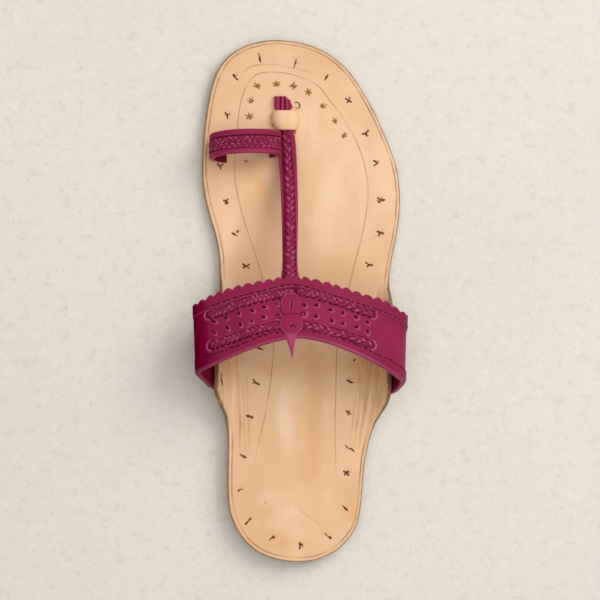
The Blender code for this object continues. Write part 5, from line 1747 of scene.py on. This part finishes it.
def build_bridge():
    keys = [r[0] for r in BRIDGE]
    count, arch = 44, 60
    ends = 0.45
    ys = np.concatenate([np.linspace(keys[0], keys[0] + ends, 7)[:-1], np.linspace(keys[0] + ends, keys[-1] - ends, count), np.linspace(keys[-1] - ends, keys[-1], 7)[1:]])
    outer, inner = [], []
    for y in ys:
        x, half, high = (through(keys, [r[c] for r in BRIDGE], y) for c in (1, 2, 3))
        e = min(y - keys[0], keys[-1] - y) / ends
        cut = 0.42 * (1 - math.sqrt(max(0.0, 1 - max(0.0, 1 - e) ** 2)))
        half, high = half - cut, high - cut
        foot = deck(y - HEEL_END)
        a = np.linspace(0, math.pi, arch + 1)
        c, d = np.cos(a), np.sin(a)
        ox = np.sign(c) * np.abs(c) ** (2 / BRIDGE_SQUARE) * half
        oz = 0.1 + (high - 0.1) * d ** (2 / BRIDGE_SQUARE)
        fold = 0.03 * np.cos(ox * 0.8 - y)
        outer.append(np.stack([x + ox, 0 * ox + y, foot + oz + fold * d], axis=1))
        tx = np.sign(c) * np.abs(c) ** (2 / 4.0) * TUNNEL_HALF
        tz = 0.1 + (TUNNEL_TOP - 0.1) * d ** (2 / 4.0)
        inner.append(np.stack([x + tx, 0 * tx + y, foot + tz], axis=1))
    outer, inner = np.array(outer), np.array(inner)
    h = Heap()
    n = arch + 1
    ring = np.concatenate([outer, inner[:, ::-1]], axis=1)
    h.add(ring, grid_faces(len(ys), 2 * n, wrap=True).tolist(), 0)
    base = 0
    for k, flip in ((0, True), (len(ys) - 1, False)):
        o = base + k * 2 * n
        for j in range(n - 1):
            f = [o + j, o + j + 1, o + 2 * n - 2 - j, o + 2 * n - 1 - j]
            h.f.append(f[::-1] if flip else f)
            h.m.append(0)
    h.make("bridge_leather", [TAN_PLAIN], smooth_angle=70, slot="bridge", stands_for=("strap_bridge",))
    # where it goes down into the insole: dark rods as painted shade in its slits; and the thong end beside it, with a
    # dark rod round its curl as painted shade
    h = Heap()
    for pts, r in ((((386.9, 123.6), (388.6, 126.2), (391.2, 128.3), (395.0, 129.4)), 0.33), (((408.9, 129.8), (410.0, 131.2), (410.9, 133.2)), 0.38)):
        q = np.array([on_insole(u, v) for u, v in pts])
        q = resample(catmull(q, 6), 0.3)
        tube(h, q, r, sides=8, flat=0.35)
    q = np.array([on_insole(u, v) for u, v in ((409.4, 102.9), (411.4, 101.9), (413.6, 102.6), (415.0, 105.0), (414.3, 107.4), (412.2, 108.2), (410.6, 107.8))])
    q = resample(catmull(q, 6), 0.3)
    q[:, 2] += 0.45
    s = np.linspace(0, 1, len(q))
    tube(h, q, 0.10 + 0.16 * np.sin(np.pi * s), sides=8, flat=0.8)
    h.make("bridge_slit_shade", [BROWN_THREAD], slot="bridge")
    h = Heap()
    q = np.array([on_insole(u, v) for u, v in ((403.4, 104.6), (405.8, 105.2), (408.6, 105.8), (410.8, 104.9), (412.6, 104.6))])
    q = resample(catmull(q, 6), 0.3)
    s = np.linspace(0, 1, len(q))
    q[:, 2] += 1.9 - 1.5 * s
    tube(h, q, 0.62 - 0.10 * s, sides=10, flat=0.8, rim=9.0)
    h.make("bridge_thong", [TAN_PLAIN], slot="bridge")


build_bridge()

# The ornament's outline, charted: v, left, right.
LOBES = (
    (293.3, 405.6, 406.2), (293.7, 403.0, 409.0), (294.6, 400.9, 411.0), (296.2, 398.8, 413.0), (298.4, 397.2, 414.5), (301.2, 396.2, 415.5), (305.0, 395.8, 416.0), (309.0, 396.3, 416.0),
    (312.0, 397.1, 415.8), (313.8, 397.9, 415.5), (314.7, 398.4, 415.2), (315.5, 397.9, 415.8), (317.0, 396.6, 416.9), (319.4, 395.3, 417.8), (322.4, 394.7, 418.3), (325.3, 394.6, 418.3),
    (328.2, 395.3, 417.6), (330.6, 396.9, 416.2), (332.6, 399.1, 414.2), (334.2, 401.8, 411.6), (335.0, 404.2, 409.0), (335.35, 406.2, 407.0),
)
TAIL = ((331.0, 399.2, 412.8), (334.0, 399.7, 412.2), (336.5, 400.3, 411.3), (340.0, 401.6, 410.5), (345.0, 403.4, 409.6), (350.0, 404.9, 409.2), (355.0, 406.1, 408.8), (359.0, 406.9, 408.4), (361.4, 407.4, 408.0))


def chart_fit(u0, u1, v0, v1):
    """Quick smooth version of on_band over a small region."""
    us, vs = np.meshgrid(np.linspace(u0, u1, 7), np.linspace(v0, v1, 9))
    got = np.array([on_band(u, v) for u, v in zip(us.ravel(), vs.ravel())])
    cu, cv = (u0 + u1) / 2, (v0 + v1) / 2

    def basis(u, v):
        a, b = (u - cu) / 20, (v - cv) / 20
        return np.stack([1 + 0 * a, a, b, a * a, a * b, b * b, a**3, a * a * b, a * b * b, b**3], axis=-1)

    k, *_ = np.linalg.lstsq(basis(us.ravel(), vs.ravel()), got, rcond=None)
    return lambda u, v: np.moveaxis(basis(u, v) @ k, -1, 0)


def leaf(heap, rows, per, cols, fit, top, low, soft, extra=None, mats=(0, 1)):
    """A small shaped piece of leather on the band, from its charted outline."""
    r = catmull(rows, per)
    v, left, right = r[:, 0], r[:, 1], r[:, 2]
    c = np.linspace(-1, 1, cols)
    c = np.sign(c) * (1 - (1 - np.abs(c)) ** 1.35)
    u = (left + right)[:, None] / 2 + (right - left)[:, None] / 2 * c[None, :]
    vv = np.repeat(v[:, None], cols, axis=1)
    ring = np.vstack([np.stack([left, v], axis=1), np.stack([right, v], axis=1)[::-1], [[left[0], v[0]]]])
    d, _, _ = near_line(u, vv, ring)
    d = d * 0.476
    e = np.clip(1 - d / soft, 0, 1)
    high = top - soft * 0.9 * (1 - np.sqrt(1 - e * e))
    values = {"hollow": np.zeros(u.shape), "rubbed": np.zeros(u.shape)}
    if extra:
        more, vals = extra(u, vv, d)
        high = high + more
        values.update(vals)
    i, share = fit(u, vv)
    p, _, _, n = band_frame(i, share)
    upper = p + n * high[..., None]
    lower = p + n * low
    a = heap.n
    rows_n = len(v)
    heap.add(upper, grid_faces(rows_n, cols).tolist(), mats[0], **values)
    heap.add(lower, grid_faces(rows_n, cols, flip=True).tolist(), mats[1])
    b = a + rows_n * cols
    rim = [k * cols for k in range(rows_n)] + [(rows_n - 1) * cols + j for j in range(1, cols)] + [k * cols + cols - 1 for k in range(rows_n - 2, -1, -1)] + [j for j in range(cols - 2, 0, -1)]
    for j in range(len(rim)):
        x, y = rim[j], rim[(j + 1) % len(rim)]
        heap.f.append([a + x, b + x, b + y, a + y])
        heap.m.append(mats[1])


def build_ornament():
    fit = chart_fit(390.0, 422.0, 290.0, 362.0)

    def worked(u, v, d):
        slit = np.hypot((u - 406.4 - 0.25 * np.sin(v)) / 0.95, np.maximum(np.abs(v - 305.2) - 2.6, 0) / 0.8)
        z = -1.0 * (1 - smooth_a(0.45, 1.15, slit))
        # painted shade in the slit, the crease, the waist and the hole
        hollow = 1 - smooth_a(0.55, 1.2, slit)
        lips = np.exp(-(((slit - 1.7) / 0.5) ** 2))
        z = z + 0.14 * lips
        crease = np.exp(-(((u - 406.2 - 0.08 * (v - 309)) / 0.5) ** 2)) * smooth_a(307.5, 309.5, v) * smooth_a(315.5, 314.0, v)
        z = z - 0.28 * crease
        waist = np.exp(-(((v - 314.7 - 0.02 * (u - 406) ** 2 * 0.3) / 0.75) ** 2))
        z = z - 0.42 * waist * (0.45 + 0.55 * smooth_a(3.0, 9.5, np.abs(u - 406.8)))
        arm = np.minimum(np.hypot(np.maximum(np.abs(u - 405.9) - 1.2, 0), (v - 326.0) - np.abs(u - 407.4) * 0.62 + 0.6) / 0.8,
                         np.hypot(np.maximum(np.abs(u - 408.9) - 1.2, 0), (v - 326.0) - np.abs(u - 407.4) * 0.62 + 0.6) / 0.8)
        hole = (1 - smooth_a(0.5, 1.15, arm))
        z = z - 0.9 * hole
        hollow = np.maximum(hollow, hole)
        hollow = np.maximum(hollow, 0.55 * crease)
        hollow = np.maximum(hollow, 0.45 * waist)
        # painted highlights on the lobes' rims, the slit's lips and two bright spots
        upper_left = smooth_a(4.0, -8.0, (u - 406) + (v - 303) * 0.9) * (v < 314.7)
        lower = (v > 314.7) * smooth_a(-6.0, 6.0, (v - 326) * 1.0 - (u - 406) * 0.15)
        highlight = np.exp(-(((d - 0.32) / 0.24) ** 2)) * np.clip(0.05 + 0.60 * upper_left + 0.40 * lower, 0, 1)
        highlight = highlight + 0.55 * lips * (v < 310) * (grains(u, v, 4, 0.8, 1) > -0.1) + 0.4 * np.exp(-(((arm - 1.5) / 0.4) ** 2)) * (v > 324)
        for a, b in ((405.9, 303.0), (405.6, 306.2)):
            spot = np.exp(-(((u - a) / 0.55) ** 2) - ((v - b) / 0.7) ** 2)
            highlight = highlight + 1.3 * spot
            hollow = hollow * (1 - spot)
        z = z + 0.30 * (v > 314.7) * smooth_a(0.0, 2.5, d) + 0.12 * (v <= 314.7) * smooth_a(0.0, 2.0, d) + 0.05 * grains(u, v, 3, 4.0, 2)
        return z, {"hollow": np.clip(hollow, 0, 1), "rubbed": np.clip(highlight, 0, 1)}

    def tail(u, v, d):
        z = 0.25 * smooth_a(0.0, 1.4, d) + 0.0 * u
        # painted highlight: lighter along its edge and over its middle
        return z, {"rubbed": 0.20 + 0.35 * np.exp(-(((d - 0.3) / 0.25) ** 2)) + 0.25 * smooth_a(0.4, 2.0, d)}

    h = Heap()
    leaf(h, TAIL, 6, 15, fit, 3.3, 2.3, 0.45, tail)
    leaf(h, LOBES, 5, 61, fit, 3.65, 2.0, 0.55, worked)
    h.make("ornament_leather", [WINE, WINE_CUT], smooth_angle=65, slot="ornament", stands_for=("ornament",))


build_ornament()
